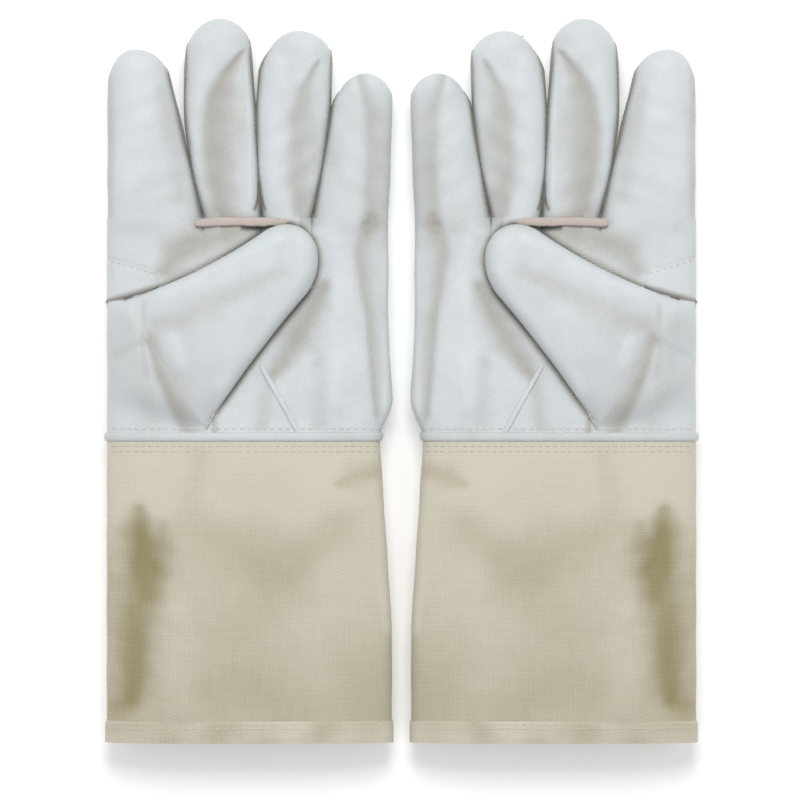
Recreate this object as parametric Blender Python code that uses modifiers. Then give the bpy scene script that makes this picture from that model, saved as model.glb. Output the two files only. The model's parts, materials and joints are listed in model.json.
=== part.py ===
"""A pair of beekeeping gloves: leather hands with folded thumbs, and canvas gauntlets.

Both gloves lie on their backs, palms up (+Z), fingers towards +Y and cuffs towards -Y. The left
glove is on the -X side and the right glove is its mirror image. Units are metres. The origin is
at the middle of the pair, on the surface that they lie on.

Each glove is laid out in its own plan: across from the index finger's outer edge, along from the
wrist seam (fingers positive, gauntlet negative), and up from the surface.
"""

from math import cos, hypot, pi, sin

import bmesh
import bpy
from mathutils import Matrix, Vector

# Leather and canvas
LEATHER = 0.0010
CANVAS = 0.0009
TIP_SLACK = 0.0003
SURFACE_SLACK = 0.0006
SEAM = LEATHER  # between two pieces sewn edge to edge, so that their inner corners clear each other
TIP_SEAM = 2 * LEATHER + TIP_SLACK  # the same, round a fingertip, where the layers turn in most
HINGE_GAP = 0.0005  # between two pieces that meet across a bending line
LAID_GAP = 0.0004  # between a welt or the thumb and the leather it lies on
SURFACE_GAP = 4 * LEATHER + SURFACE_SLACK  # between the two layers where neighbouring fingers join

# The pair
PAIR_GAP = 0.0078  # between the little-finger sides of the two gloves
SIDES = {"left": 1, "right": -1}

# The hand
HAND_LENGTH = 0.1020  # wrist seam to the roots of the fingers
FLAT_LENGTH = 0.0935  # wrist seam to where the palm starts to divide into fingers
KNUCKLE_HEIGHT = 0.0200
WRIST_HEIGHT = 0.0250
WRIST_WIDTH = 0.1246
HEEL_SWELL = 0.0018  # how far the heel of the hand stands out past the knuckles' width
HEEL_AT = 0.0190
HAND_ROUNDNESS = 3.2  # exponent of the hand's superelliptic section
FINGER_ROUNDNESS = 2.5
BACK_FLATTENING = 1.12  # above 1, the back lies flat on the surface

# The fingers: length, widths at the root, the middle and below the tip, and how far the middle
# line has moved across at the middle and below the tip
FINGERS = {
    "index": dict(length=0.0769, root=0.0440, middle=0.0351, tip=0.0283, sway=-0.0044, lean=-0.0078),
    "middle": dict(length=0.0911, root=0.0267, middle=0.0328, tip=0.0288, sway=-0.0055, lean=-0.0063),
    "ring": dict(length=0.0856, root=0.0229, middle=0.0335, tip=0.0325, sway=0.0026, lean=0.0043),
    "little": dict(length=0.0660, root=0.0351, middle=0.0302, tip=0.0270, sway=0.0036, lean=0.0058),
}
FINGER_CLEARANCE = 0.0012  # each finger's side to the line that it shares with its neighbour
TIP_LENGTH = 0.0130  # the rounded end of each finger
TIP_ROUNDNESS = 2.3
TIP_BLUNTNESS = 0.38  # the end seam's share of the width below the tip
TIP_LAST_ROW = 0.35  # rows' worth of the turn left out at the very tip, where they would crowd
WALL_ANGLE = 38 * pi / 180  # a side wall's reach, from the middle of the finger's side

# The thumb, folded over the palm. Its root line is where the thumb bends away from the palm.
THUMB_ROOT_TOP = (0.0080, 0.0640)  # across and along, at the index finger's side
THUMB_ROOT_HEEL = (0.0455, 0.0058)  # at the wrist
THUMB = dict(length=0.0875, middle=0.0440, tip=0.0345, sway=-0.0050, lean=-0.0092)
THUMB_ROOT_THICKNESS = 0.0080
THUMB_THICKNESS = 0.0120
THUMB_THICKENED_AT = 0.3  # share of the thumb's length where it reaches its full thickness
THUMB_TIP_LENGTH = 0.0160
THUMB_HOLE = 0.0045  # from the root line to the palm's cut edge

# The patch between the index finger and the thumb, on the index finger's side
KEYSTONE_TOP = 0.0842  # along, at the outer edge
KEYSTONE_FOOT = 0.0640
KEYSTONE_REACH = 0.0240
KEYSTONE_INNER_TOP = 0.0772
KEYSTONE_INNER_FOOT = 0.0708
KEYSTONE_CROWDING = 2.2  # exponent that crowds the patch's columns beside the steep outer seam
WING_INSET = 0.25  # angle left out at each end of the thumb's root, where its section closes

# Welts and the wrist binding
BINDING_WIDTH = 0.0040
BINDING_PROUD = 0.0008
WELT_THICKNESS = 0.0012
PALM_WELT_WIDTH = 0.0030
PALM_WELT_WRIST = (0.0858, 0.0056)
PALM_WELT_END = (0.0700, 0.0350)
FINGER_WELT_WIDTH = 0.0040
FINGER_WELT_OVERHANG = 0.0045  # past the roots of the middle and ring fingers

# The gauntlet
GAUNTLET_LENGTH = 0.1370
GAUNTLET_WIDTH = 0.1305
GAUNTLET_HEIGHT = 0.0290
GAUNTLET_FLARE = 0.0850  # from the wrist to where the gauntlet is at its full width
HEM_WIDTH = 0.0100

# Divisions of each surface
FINGER_ROWS = 4
TIP_ROWS = 4
FINGER_COLUMNS = 5
WALL_COLUMNS = 2
GAUNTLET_ROWS = 4
GAUNTLET_COLUMNS = 8
RING_COLUMNS = 24
ARC_COLUMNS = 4  # across each finger's share of the hand
AT_SEAM = 0.0001  # the angle of an outer seam, above 0 so that it lies on its own layer
UPRIGHT = 9 * pi / 180  # the last turn of an edge that lies at an outer seam

OVERALL_LENGTH = HAND_LENGTH + max(f["length"] for f in FINGERS.values()) + GAUNTLET_LENGTH
ALONG_ORIGIN = GAUNTLET_LENGTH - OVERALL_LENGTH / 2
KNUCKLE_WIDTH = sum(f["root"] for f in FINGERS.values())
ACROSS_ORIGIN = max(KNUCKLE_WIDTH + HEEL_SWELL, GAUNTLET_WIDTH) + PAIR_GAP / 2

COLOURS = {
    "leather": ((0.76, 0.79, 0.80, 1), 0.55),
    "shaded_leather": ((0.62, 0.61, 0.58, 1), 0.60),
    "welt": ((0.72, 0.66, 0.58, 1), 0.60),
    "canvas": ((0.60, 0.54, 0.42, 1), 0.90),
}


def clear_scene():
    for obj in list(bpy.data.objects):
        bpy.data.objects.remove(obj, do_unlink=True)


def collection(name):
    made = bpy.data.collections.new(name)
    bpy.context.scene.collection.children.link(made)
    return made


def material(name):
    made = bpy.data.materials.new(name)
    made.use_nodes = True
    shader = made.node_tree.nodes["Principled BSDF"]
    colour, roughness = COLOURS[name]
    shader.inputs["Base Color"].default_value = colour
    shader.inputs["Roughness"].default_value = roughness
    shader.inputs["Metallic"].default_value = 0
    return made


def mix(a, b, share):
    return a + (b - a) * share


def smooth(share):
    share = min(1, max(0, share))
    return share * share * (3 - 2 * share)


def spread(start, end, count):
    return [mix(start, end, i / count) for i in range(count + 1)]


def rounded(angle, exponent):
    """A point on a superellipse of half-width and half-height 1."""
    c, s = cos(angle), sin(angle)
    across = abs(c) ** (2 / exponent)
    up = abs(s) ** (2 / exponent)
    return (across if c > 0 else -across), (up if s > 0 else -up)


def arc_angles(start, end, count, steep_start=True, steep_end=True):
    """Angles along an arc. A steep end has one more beside it, so that the edge there stands upright."""
    angles = spread(start, end, count)
    beside = UPRIGHT if end > start else -UPRIGHT
    if steep_start:
        angles.insert(1, start + beside)
    if steep_end:
        angles.insert(-1, end - beside)
    return angles


def through(share, first, second, third, at):
    """A parabola through three values, at 0, at 0.5 and at the share named."""
    a = (share - 0.5) * (share - at) / (0.5 * at)
    b = share * (share - at) / (0.5 * (0.5 - at))
    c = share * (share - 0.5) / (at * (at - 0.5))
    return a * first + b * second + c * third


def layer(middle, half_height, up, least):
    """The height of the top or the bottom layer, kept apart from the other one by twice least."""
    if up < 0:
        return middle - max(least, half_height * min(1, -up * BACK_FLATTENING))
    return middle + max(least, half_height * up)


class Digit:
    """A finger or the thumb: a sock whose width and middle line change along its length."""

    def __init__(self, size, root_middle, across, along, floor, thick, tip_length):
        self.size = size
        self.root_middle = root_middle
        self.across = across
        self.along = along
        self.floor = floor
        self.thick = thick
        self.tip_length = tip_length
        self.tip_at = 1 - tip_length / size["length"]

    def rows(self, count, tip_count):
        """Shares of the length, closer together round the tip."""
        body = spread(0, self.tip_at, count)
        body[0] = HINGE_GAP / 2 / self.size["length"]
        turn = [sin(pi / 2 * i / (tip_count + TIP_LAST_ROW)) for i in range(1, tip_count + 1)]
        return body + [mix(self.tip_at, 1, share) for share in turn] + [1]

    def point(self, share, angle):
        size = self.size
        width = through(min(share, self.tip_at), size["root"], size["middle"], size["tip"], self.tip_at)
        offset = through(share, 0, size["sway"], size["lean"], self.tip_at)
        past = max(0, (share - self.tip_at) / (1 - self.tip_at))
        taper = max(0, 1 - past**TIP_ROUNDNESS) ** (1 / TIP_ROUNDNESS)
        across, up = rounded(angle, FINGER_ROUNDNESS)
        across *= (width / 2 - FINGER_CLEARANCE) * max(taper, TIP_BLUNTNESS)
        thick = mix(self.thick[0], self.thick[1], smooth(share / THUMB_THICKENED_AT))
        least = mix(SEAM, TIP_SEAM, past) / 2
        height = layer(self.floor + thick / 2, thick / 2 * taper, up, least)
        middle, forward = offset + across, share * size["length"]
        return (
            self.root_middle[0] + self.across[0] * middle + self.along[0] * forward,
            self.root_middle[1] + self.across[1] * middle + self.along[1] * forward,
            height,
        )

    def panel(self, angles, last_share=1.0):
        rows = [share for share in self.rows(FINGER_ROWS, TIP_ROWS) if share <= last_share]
        return [[self.point(share, angle) for angle in angles] for share in rows]


def finger_digits():
    """The four fingers, root by root from the index finger's outer edge."""
    digits, edge = {}, 0
    for name, size in FINGERS.items():
        root_middle = (edge + size["root"] / 2, HAND_LENGTH)
        thick = (KNUCKLE_HEIGHT, KNUCKLE_HEIGHT)
        digits[name] = Digit(size, root_middle, (1, 0), (0, 1), 0, thick, TIP_LENGTH)
        edge += size["root"]
    return digits


def thumb_digit():
    top, heel = THUMB_ROOT_TOP, THUMB_ROOT_HEEL
    root = hypot(heel[0] - top[0], heel[1] - top[1])
    across = ((heel[0] - top[0]) / root, (heel[1] - top[1]) / root)
    along = (-across[1], across[0])
    middle = ((top[0] + heel[0]) / 2, (top[1] + heel[1]) / 2)
    floor = WRIST_HEIGHT + LAID_GAP
    thick = (THUMB_ROOT_THICKNESS, THUMB_THICKNESS)
    return Digit(dict(THUMB, root=root), middle, across, along, floor, thick, THUMB_TIP_LENGTH)


def hand_width(along):
    """The hand's width: narrowest at the wrist, with a swell at the heel."""
    if along < HEEL_AT:
        return mix(WRIST_WIDTH, KNUCKLE_WIDTH + HEEL_SWELL, smooth(along / HEEL_AT))
    return mix(KNUCKLE_WIDTH + HEEL_SWELL, KNUCKLE_WIDTH, smooth((along - HEEL_AT) / (HAND_LENGTH / 3)))


def hand_height(along):
    return mix(WRIST_HEIGHT, KNUCKLE_HEIGHT, along / HAND_LENGTH)


def hand_top(across, along):
    """The height of the palm where it is not divided into fingers."""
    share = min(1, abs(2 * across / hand_width(along) - 1))
    up = (1 - share**HAND_ROUNDNESS) ** (1 / HAND_ROUNDNESS)
    return layer(hand_height(along) / 2, hand_height(along) / 2, up, SEAM / 2)


def knuckle_columns(digits):
    """Points round the top half of each finger's root: across, and the share of the height."""
    columns = []
    last = len(digits) - 1
    for number, digit in enumerate(digits.values()):
        for angle in arc_angles(pi, 0, ARC_COLUMNS, number == 0, number == last):
            across, up = rounded(angle, FINGER_ROUNDNESS)
            half = digit.size["root"] / 2 - FINGER_CLEARANCE
            columns.append((digit.root_middle[0] + across * half, up))
    return columns


def hand_row(digits, along, side, cut=0.0):
    """One row across the hand: side 1 is the palm and -1 the back. It starts at the cut."""
    columns = knuckle_columns(digits)
    width = hand_width(along)
    divided = smooth((along - FLAT_LENGTH) / (HAND_LENGTH - FLAT_LENGTH))
    middle = hand_height(along) / 2
    first, last = columns[0][0], columns[-1][0]
    row = []
    for index, (knuckle, arc) in enumerate(columns):
        flat = mix(cut, width, (knuckle - first) / (last - first))
        share = min(1, abs(2 * flat / width - 1))
        up = mix((1 - share**HAND_ROUNDNESS) ** (1 / HAND_ROUNDNESS), arc, divided)
        at_edge = index in (0, len(columns) - 1)
        least = SEAM / 2 if at_edge else mix(SEAM, SURFACE_GAP, divided) / 2
        height = layer(middle, middle, side * up if up else side * 1e-9, least)
        row.append((mix(flat, knuckle, divided), along, height))
    return row


def beside_thumb_root(along):
    """Across to the palm's cut edge beside the thumb's root line."""
    top, heel = THUMB_ROOT_TOP, THUMB_ROOT_HEEL
    slope = (heel[0] - top[0]) / (top[1] - heel[1])
    return top[0] + (top[1] - along) * slope + THUMB_HOLE * hypot(1, slope)


def palm_cut(along):
    """The palm's index-side edge: the outer seam, then round the patch, then beside the thumb's root."""
    inner = KEYSTONE_REACH + SEAM
    if along >= KEYSTONE_TOP:
        return 0.0
    if along >= KEYSTONE_INNER_TOP:
        return mix(inner, 0, (along - KEYSTONE_INNER_TOP) / (KEYSTONE_TOP - KEYSTONE_INNER_TOP))
    if along >= KEYSTONE_INNER_FOOT:
        return inner
    return beside_thumb_root(along)


def palm_panel(digits):
    start = BINDING_WIDTH + SEAM
    lower = spread(start, KEYSTONE_INNER_FOOT - THUMB_HOLE, 5)
    upper = [KEYSTONE_INNER_FOOT, KEYSTONE_INNER_TOP, KEYSTONE_TOP + SEAM, FLAT_LENGTH]
    knuckles = spread(FLAT_LENGTH, HAND_LENGTH - HINGE_GAP / 2, 3)[1:]
    return [hand_row(digits, along, 1, palm_cut(along)) for along in lower + upper + knuckles]


def back_panel(digits):
    rows = spread(BINDING_WIDTH + SEAM, FLAT_LENGTH, 7) + spread(FLAT_LENGTH, HAND_LENGTH - HINGE_GAP / 2, 3)[1:]
    return [hand_row(digits, along, -1) for along in rows]


def keystone_patch():
    """Between the outer seam and the palm, rising steeply beside the seam."""
    rows = []
    for share in spread(0, 1, 3):
        row = []
        for column in spread(0, 1, 6):
            inward = column**KEYSTONE_CROWDING
            reach = KEYSTONE_REACH * inward
            foot = mix(KEYSTONE_FOOT, KEYSTONE_INNER_FOOT, inward)
            top = mix(KEYSTONE_TOP, KEYSTONE_INNER_TOP, inward) - SEAM / 2
            along = mix(foot, top, share)
            row.append((reach, along, hand_top(reach, along)))
        rows.append(row)
    return rows


def thumb_wing(thumb):
    """From the outer seam up to the thumb's root line."""
    size, rows = 8, []
    clear = HINGE_GAP / 2
    for share in spread(0, 1, size):
        angle = mix(pi - WING_INSET, WING_INSET, share)
        root = thumb.point(0, angle)
        crest = (root[0] - thumb.along[0] * clear, root[1] - thumb.along[1] * clear, root[2])
        along = mix(crest[1], BINDING_WIDTH + SEAM, smooth(share) ** 3)
        seam_along = mix(KEYSTONE_FOOT - SEAM, BINDING_WIDTH + SEAM, share)
        low = hand_height(seam_along) / 2 + SEAM / 2
        row = []
        for turn in spread(0, pi / 2, 5):
            row.append((
                crest[0] * (1 - cos(turn)),
                mix(seam_along, max(along, BINDING_WIDTH + SEAM), 1 - cos(turn)),
                mix(low, crest[2], sin(turn)),
            ))
        rows.append(row)
    return rows


def ring(width, height, start, end):
    """Closed cross-sections of a flat tube round the wrist or the gauntlet."""
    rows = []
    for along in (start, end):
        row = []
        for i in range(RING_COLUMNS):
            across, up = rounded(2 * pi * (i + 0.5) / RING_COLUMNS, HAND_ROUNDNESS)
            w, h = width(along), height(along)
            level = layer(h / 2, h / 2, up, 0)
            row.append((w / 2 * (1 + across), along, level))
        rows.append(row)
    return rows


def gauntlet_width(along):
    return mix(WRIST_WIDTH, GAUNTLET_WIDTH, min(1, -along / GAUNTLET_FLARE))


def gauntlet_height(along):
    return mix(WRIST_HEIGHT, GAUNTLET_HEIGHT, min(1, -along / GAUNTLET_LENGTH))


def gauntlet_panel(side):
    rows = []
    for along in spread(-HINGE_GAP, -GAUNTLET_LENGTH + HEM_WIDTH + SEAM / 2, GAUNTLET_ROWS):
        width, half = gauntlet_width(along), gauntlet_height(along) / 2
        row = []
        for angle in arc_angles(pi, 0, GAUNTLET_COLUMNS):
            across, up = rounded(angle, HAND_ROUNDNESS)
            row.append((width / 2 * (1 + across), along, layer(half, half, side * max(up, 1e-9), SEAM / 2)))
        rows.append(row)
    return rows


def palm_welt():
    """A raised seam that lies on the palm, from the wrist to under the thumb."""
    low, high = PALM_WELT_WRIST, PALM_WELT_END
    length = hypot(high[0] - low[0], high[1] - low[1])
    aside = ((high[1] - low[1]) / length, (low[0] - high[0]) / length)
    rows = []
    for share in spread(0, 1, 5):
        row = []
        for edge in (-1, 0, 1):
            across = mix(low[0], high[0], share) + aside[0] * edge * PALM_WELT_WIDTH / 2
            along = mix(low[1], high[1], share) + aside[1] * edge * PALM_WELT_WIDTH / 2
            height = hand_top(across, along) + LAID_GAP + WELT_THICKNESS
            row.append((across, along, height))
        rows.append(row)
    return rows


def finger_base_welt(digits):
    """A raised seam under the middle and ring fingers, bridging the dip between them."""
    start = digits["middle"].root_middle[0] - FINGERS["middle"]["root"] / 2 - FINGER_WELT_OVERHANG
    end = digits["ring"].root_middle[0] + FINGERS["ring"]["root"] / 2 - FINGER_WELT_OVERHANG
    top = HAND_LENGTH - 2 * HINGE_GAP
    rows = []
    for along in spread(top - FINGER_WELT_WIDTH, top, 2):
        height = hand_height(top - FINGER_WELT_WIDTH) + LAID_GAP + WELT_THICKNESS
        rows.append([(across, along, height) for across in spread(start, end, 8)])
    return rows


def place(side, point):
    """A point of a glove's own plan, in the pair's frame."""
    across, along, up = point
    return (side * (across - ACROSS_ORIGIN), along + ALONG_ORIGIN, up)


def face_outwards(bm, rows, outward, side):
    """Turns the sheet's outer side towards outward, or away from its own middle where outward is None."""
    bmesh.ops.recalc_face_normals(bm, faces=bm.faces)
    bm.normal_update()
    total = 0.0
    if outward is None:
        points = [Vector(place(side, point)) for row in rows for point in row]
        middle = sum(points, Vector()) / len(points)
        for face in bm.faces:
            away = face.calc_center_median() - middle
            away.y = 0
            total += face.calc_area() * face.normal.dot(away)
    else:
        direction = Vector((side * outward[0], outward[1], outward[2]))
        for face in bm.faces:
            total += face.calc_area() * face.normal.dot(direction)
    if total < 0:
        bmesh.ops.reverse_faces(bm, faces=bm.faces)


def shell(name, rows, outward, finish, group, side, thickness=LEATHER, closed=False):
    """A surface through the rows, given its thickness on the inner side."""
    mesh = bpy.data.meshes.new(name)
    bm = bmesh.new()
    points = [[bm.verts.new(place(side, point)) for point in row] for row in rows]
    for low, high in zip(points, points[1:]):
        count = len(low)
        for i in range(count if closed else count - 1):
            after = (i + 1) % count
            bm.faces.new((low[i], low[after], high[after], high[i]))
    face_outwards(bm, rows, outward, side)
    bm.to_mesh(mesh)
    bm.free()
    mesh.shade_smooth()
    mesh.materials.append(finish)
    obj = bpy.data.objects.new(name, mesh)
    group.objects.link(obj)
    solid = obj.modifiers.new("thickness", "SOLIDIFY")
    solid.thickness = thickness
    solid.offset = -1
    solid.use_even_offset = True
    solid.use_quality_normals = True
    return obj


def hinge_empty(name, group, side, point):
    """An empty on a bending line, which the pieces beyond it are parented to."""
    pivot = bpy.data.objects.new(name, None)
    pivot.location = place(side, point)
    group.objects.link(pivot)
    return pivot


def hang_on(pivot, pieces):
    for piece in pieces:
        piece.parent = pivot
        piece.matrix_parent_inverse.identity()
        piece.data.transform(Matrix.Translation(-pivot.location))


def build_digit(make, name, digit, has_wall):
    """The faces and side walls of one digit. has_wall says which sides have a wall of their own."""
    seam = SEAM / (digit.thick[0] / 2)
    right = WALL_ANGLE + seam / 2 if has_wall["little_side"] else AT_SEAM
    left = pi - WALL_ANGLE - seam / 2 if has_wall["index_side"] else pi - AT_SEAM
    front = arc_angles(right, left, FINGER_COLUMNS, not has_wall["little_side"], not has_wall["index_side"])
    made = [
        make(name + "_front", digit.panel(front), (0, 0, 1)),
        make(name + "_back", digit.panel([-angle for angle in front]), (0, 0, -1)),
    ]
    reach = WALL_ANGLE - seam / 2
    last = digit.rows(FINGER_ROWS, TIP_ROWS)[-3]
    for wall_side, middle in (("little_side", 0.0), ("index_side", pi)):
        if has_wall[wall_side]:
            rows = digit.panel(spread(middle - reach, middle + reach, WALL_COLUMNS), last)
            out = cos(middle)
            made.append(make(name + "_fourchette_" + wall_side, rows, (out * digit.across[0], 0, 0), "shaded_leather"))
    return made


def build_glove(hand, side, group, finishes):
    def make(name, rows, outward, finish="leather", **options):
        return shell(hand + "_" + name, rows, outward, finishes[finish], group, side, **options)

    digits = finger_digits()
    thumb = thumb_digit()
    make("palm_panel", palm_panel(digits), (0, 0, 1))
    make("back_panel", back_panel(digits), (0, 0, -1))
    make("keystone_patch", keystone_patch(), (0, 0, 1))
    make("thumb_wing", thumb_wing(thumb), (0, 0, 1))
    make("palm_welt", palm_welt(), (0, 0, 1), "welt", thickness=WELT_THICKNESS)
    make("finger_base_welt", finger_base_welt(digits), (0, 0, 1), "welt", thickness=WELT_THICKNESS)
    binding = ring(lambda _: WRIST_WIDTH + 2 * BINDING_PROUD, hand_height, SEAM / 2, BINDING_WIDTH)
    make("wrist_binding", shifted(binding, -BINDING_PROUD), None, closed=True)

    names = list(digits)
    for number, name in enumerate(names):
        digit = digits[name]
        walls = {"index_side": number > 0, "little_side": number < len(names) - 1}
        pivot = hinge_empty(hand + "_" + name + "_knuckle", group, side, (*digit.root_middle, KNUCKLE_HEIGHT))
        hang_on(pivot, build_digit(make, name, digit, walls))

    crest = thumb.floor + THUMB_ROOT_THICKNESS
    pivot = hinge_empty(hand + "_thumb_root", group, side, (*thumb.root_middle, crest))
    hang_on(pivot, build_digit(make, "thumb", thumb, {"index_side": False, "little_side": False}))

    canvas = dict(finish="canvas", thickness=CANVAS)
    mouth = ring(gauntlet_width, gauntlet_height, -GAUNTLET_LENGTH, -GAUNTLET_LENGTH + HEM_WIDTH)
    cuff = [
        make("gauntlet_front", gauntlet_panel(1), (0, 0, 1), **canvas),
        make("gauntlet_back", gauntlet_panel(-1), (0, 0, -1), **canvas),
        make("gauntlet_hem", mouth, None, closed=True, **canvas),
    ]
    hang_on(hinge_empty(hand + "_wrist", group, side, (WRIST_WIDTH / 2, 0, WRIST_HEIGHT)), cuff)


def shifted(rows, across):
    return [[(point[0] + across, point[1], point[2]) for point in row] for row in rows]


def main():
    clear_scene()
    group = collection("beekeeping_gloves")
    finishes = {name: material(name) for name in COLOURS}
    for hand, side in SIDES.items():
        build_glove(hand, side, group, finishes)


main()
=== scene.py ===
"""Beekeeping gloves: leather hands, stitched seams and canvas gauntlets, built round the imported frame.

Each glove is laid out in its own plan: across from the index finger's outer edge, along from the
wrist seam towards the fingertips, and up from the surface that the gloves lie on. The left glove
is built in that plan and the right glove is its mirror image.
"""

import json
from math import hypot, pi

import bmesh
import bpy
import numpy as np
from bpy.props import FloatProperty, FloatVectorProperty, PointerProperty
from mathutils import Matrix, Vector

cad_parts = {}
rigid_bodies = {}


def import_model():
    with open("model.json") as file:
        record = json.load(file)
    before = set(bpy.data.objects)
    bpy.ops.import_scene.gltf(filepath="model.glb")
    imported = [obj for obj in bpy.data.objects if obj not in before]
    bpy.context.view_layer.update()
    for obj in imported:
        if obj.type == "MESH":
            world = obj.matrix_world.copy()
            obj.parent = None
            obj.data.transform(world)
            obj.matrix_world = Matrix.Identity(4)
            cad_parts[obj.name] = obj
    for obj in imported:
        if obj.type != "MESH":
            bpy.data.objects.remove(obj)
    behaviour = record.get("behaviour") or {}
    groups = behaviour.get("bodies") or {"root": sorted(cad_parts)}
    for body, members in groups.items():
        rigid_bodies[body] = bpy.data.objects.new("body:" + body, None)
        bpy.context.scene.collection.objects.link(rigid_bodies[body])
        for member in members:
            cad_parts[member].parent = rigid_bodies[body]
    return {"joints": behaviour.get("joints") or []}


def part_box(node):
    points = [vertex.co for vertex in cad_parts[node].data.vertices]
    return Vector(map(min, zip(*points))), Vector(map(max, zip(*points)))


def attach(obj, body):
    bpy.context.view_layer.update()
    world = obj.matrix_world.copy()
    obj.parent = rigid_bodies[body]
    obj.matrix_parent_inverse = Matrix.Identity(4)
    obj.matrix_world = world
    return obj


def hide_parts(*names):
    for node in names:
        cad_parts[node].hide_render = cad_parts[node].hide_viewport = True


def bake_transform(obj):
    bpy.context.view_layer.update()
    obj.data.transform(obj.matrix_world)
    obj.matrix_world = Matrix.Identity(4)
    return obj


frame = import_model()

bl_info = {
    "name": "Beekeeping Gloves",
    "version": (1, 0, 0),
    "blender": (4, 5, 0),
    "location": "3D View > Sidebar > Gloves",
    "description": "Makes a pair of leather and canvas beekeeping gloves",
    "category": "Add Mesh",
}

MM = 0.001
UP, DOWN = (0, 0, 1), (0, 0, -1)
HANDS = {"left": 1, "right": -1}
FINGER_NAMES = ("index", "middle", "ring", "little")
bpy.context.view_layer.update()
FINISHES = {}

# Widths at the root, the middle and below the tip, how far the middle line has moved across at the
# middle and below the tip, and how much lower the tip's shoulder is on the index finger's side
FINGER_SHAPES = {
    "index": (0.0440, 0.0352, 0.0283, -0.0044, -0.0078, 0.0036),
    "middle": (0.0267, 0.0332, 0.0290, -0.0055, -0.0063, 0.0020),
    "ring": (0.0229, 0.0340, 0.0327, 0.0026, 0.0043, 0.0080),
    "little": (0.0351, 0.0306, 0.0272, 0.0036, 0.0058, 0.0030),
}
THUMB_SHAPE = (0.0440, 0.0345, -0.0050, -0.0092, 0.0)
TIP_LENGTH = 0.0100
THUMB_ROOT = 0.0692
THUMB_LENGTH = 0.0875
THUMB_TIP_LENGTH = 0.0160
TIP_ROUNDNESS = 2.3
TIP_SHOULDER = 0.40  # 0 is a round end, and nearer to 1 it's flatter with sharper shoulders
THUMB_SHOULDER = 0.24
FINGER_ROUNDNESS = 2.4
STRIP_ROUNDNESS = 2.6
HAND_ROUNDNESS = 3.2
BACK_FLATTENING = 1.12
FLAT_SHARE = 0.917  # of the hand's length, before the palm divides into fingers
HEEL_SWELL = 0.0018
HEEL_AT = 0.0190
FOURCHETTE_ANGLE = 19 * pi / 180
BEND_LENGTH = 0.020  # of leather that bends at a joint

# The patch beside the thumb: along at its corners, and how far it reaches across
KEYSTONE_TOP, KEYSTONE_FOOT = 0.0842, 0.0640
KEYSTONE_INNER_TOP, KEYSTONE_INNER_FOOT, KEYSTONE_REACH = 0.0772, 0.0708, 0.0240
KEYSTONE_TUCK = 0.0140  # of the patch that runs on beneath the thumb
HEEL_LIFT = 0.0009  # of the thumb's leather over the palm, where its root runs out at the wrist
THUMB_EDGE_RISE = 0.0012  # height of the thumb's seam over the palm that it lies on
THUMB_HOLE = 0.0045
BINDING_WIDTH = 0.0040
HEM_WIDTH = 0.0100
GAUNTLET_FLARE = 0.0850
CUFF_FADE = 0.36  # how much darker the canvas gets from the wrist to the mouth
THUMB_ROUNDNESS = 2.7
THUMB_CONTOUR_WIDTH = 0.0017  # of the painted shadow line that the thumb casts on the palm along its outline
SEAM_SHADE = 0.35  # how much painted shade lies along the sewn edges, where the stitches pull the cloth in
WALL_SHADE = 0.45  # how much painted shade lies on the fingers' side walls
DARKEST, LIGHTEST = 2, -0.5  # above 1 a crease's painted shade turns to a nearly black painted shadow, below 0 it is a painted highlight
FLOOR_GAP = 0.0001  # least height of the lower leather and canvas over the floor
FINGER_LEATHER = 0.9  # thickness of the fingers' and the thumb's leather, as a share of the hand's
STITCH_GAP = 0.0016  # from a seam to the first row of stitches beside it
WORLD_LIGHT = 0.475  # what the surroundings give the gloves; the camera sees them as white
SHOWN = 0.3651  # how much width the camera shows at the gloves' height

# Dents, ridges and folds: how deep in millimetres, how much painted shade it lays on the leather or
# canvas (a negative amount is a painted highlight on a ridge, above 1 a nearly black painted shadow
# line; some of the canvas marks are real stains), which side is crisp (-1, 0 or 1), then its route in
# millimetres as (across, along, half-width). A negative depth is a ridge.
FINGER_MARKS = (
    (1.9, 0.85, -1, ((61.5, 177, 2), (53.5, 166, 6), (48.5, 155, 10), (47, 140, 12.5), (48.5, 122, 12.5),
                     (51, 105, 9))),
    (-0.5, -0.30, 0, ((64.5, 170, 1.0), (66.3, 140, 1.5), (66, 110, 1.2))),
    (-0.3, -0.15, 0, ((45, 172, 3), (39.5, 150, 3), (41.5, 112, 2))),
    (1.6, 0.66, -1, ((96, 172, 2), (90, 160, 6), (87, 147, 9.5), (86, 125, 10.5), (88, 104, 7))),
    (-0.4, -0.20, 0, ((78, 172, 4), (74, 150, 5), (73, 120, 4))),
    (1.0, 0.58, -1, ((115, 166, 3), (120, 150, 7), (121, 125, 8.5), (119, 100, 7))),
    (0.7, 0.30, 0, ((25, 160, 3), (30, 140, 5), (35, 112, 6))),
    (-0.3, -0.20, 0, ((13, 168, 6), (9, 120, 7))),
    # Painted shade along the index finger's outer edge, then nearly black painted shadow lines in the gap
    # between the middle and ring fingers.
    (0.0, 0.35, 0, ((1, 174, 2.0), (1.5, 104, 2.4))),
    (0.2, 1.60, 0, ((69.4, 118, 0.5), (69.8, 111, 0.9), (67.6, 105.5, 0.8))),
    (0.2, 1.50, 0, ((69.8, 111, 0.9), (72.0, 105.5, 0.8))),
)
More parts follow.
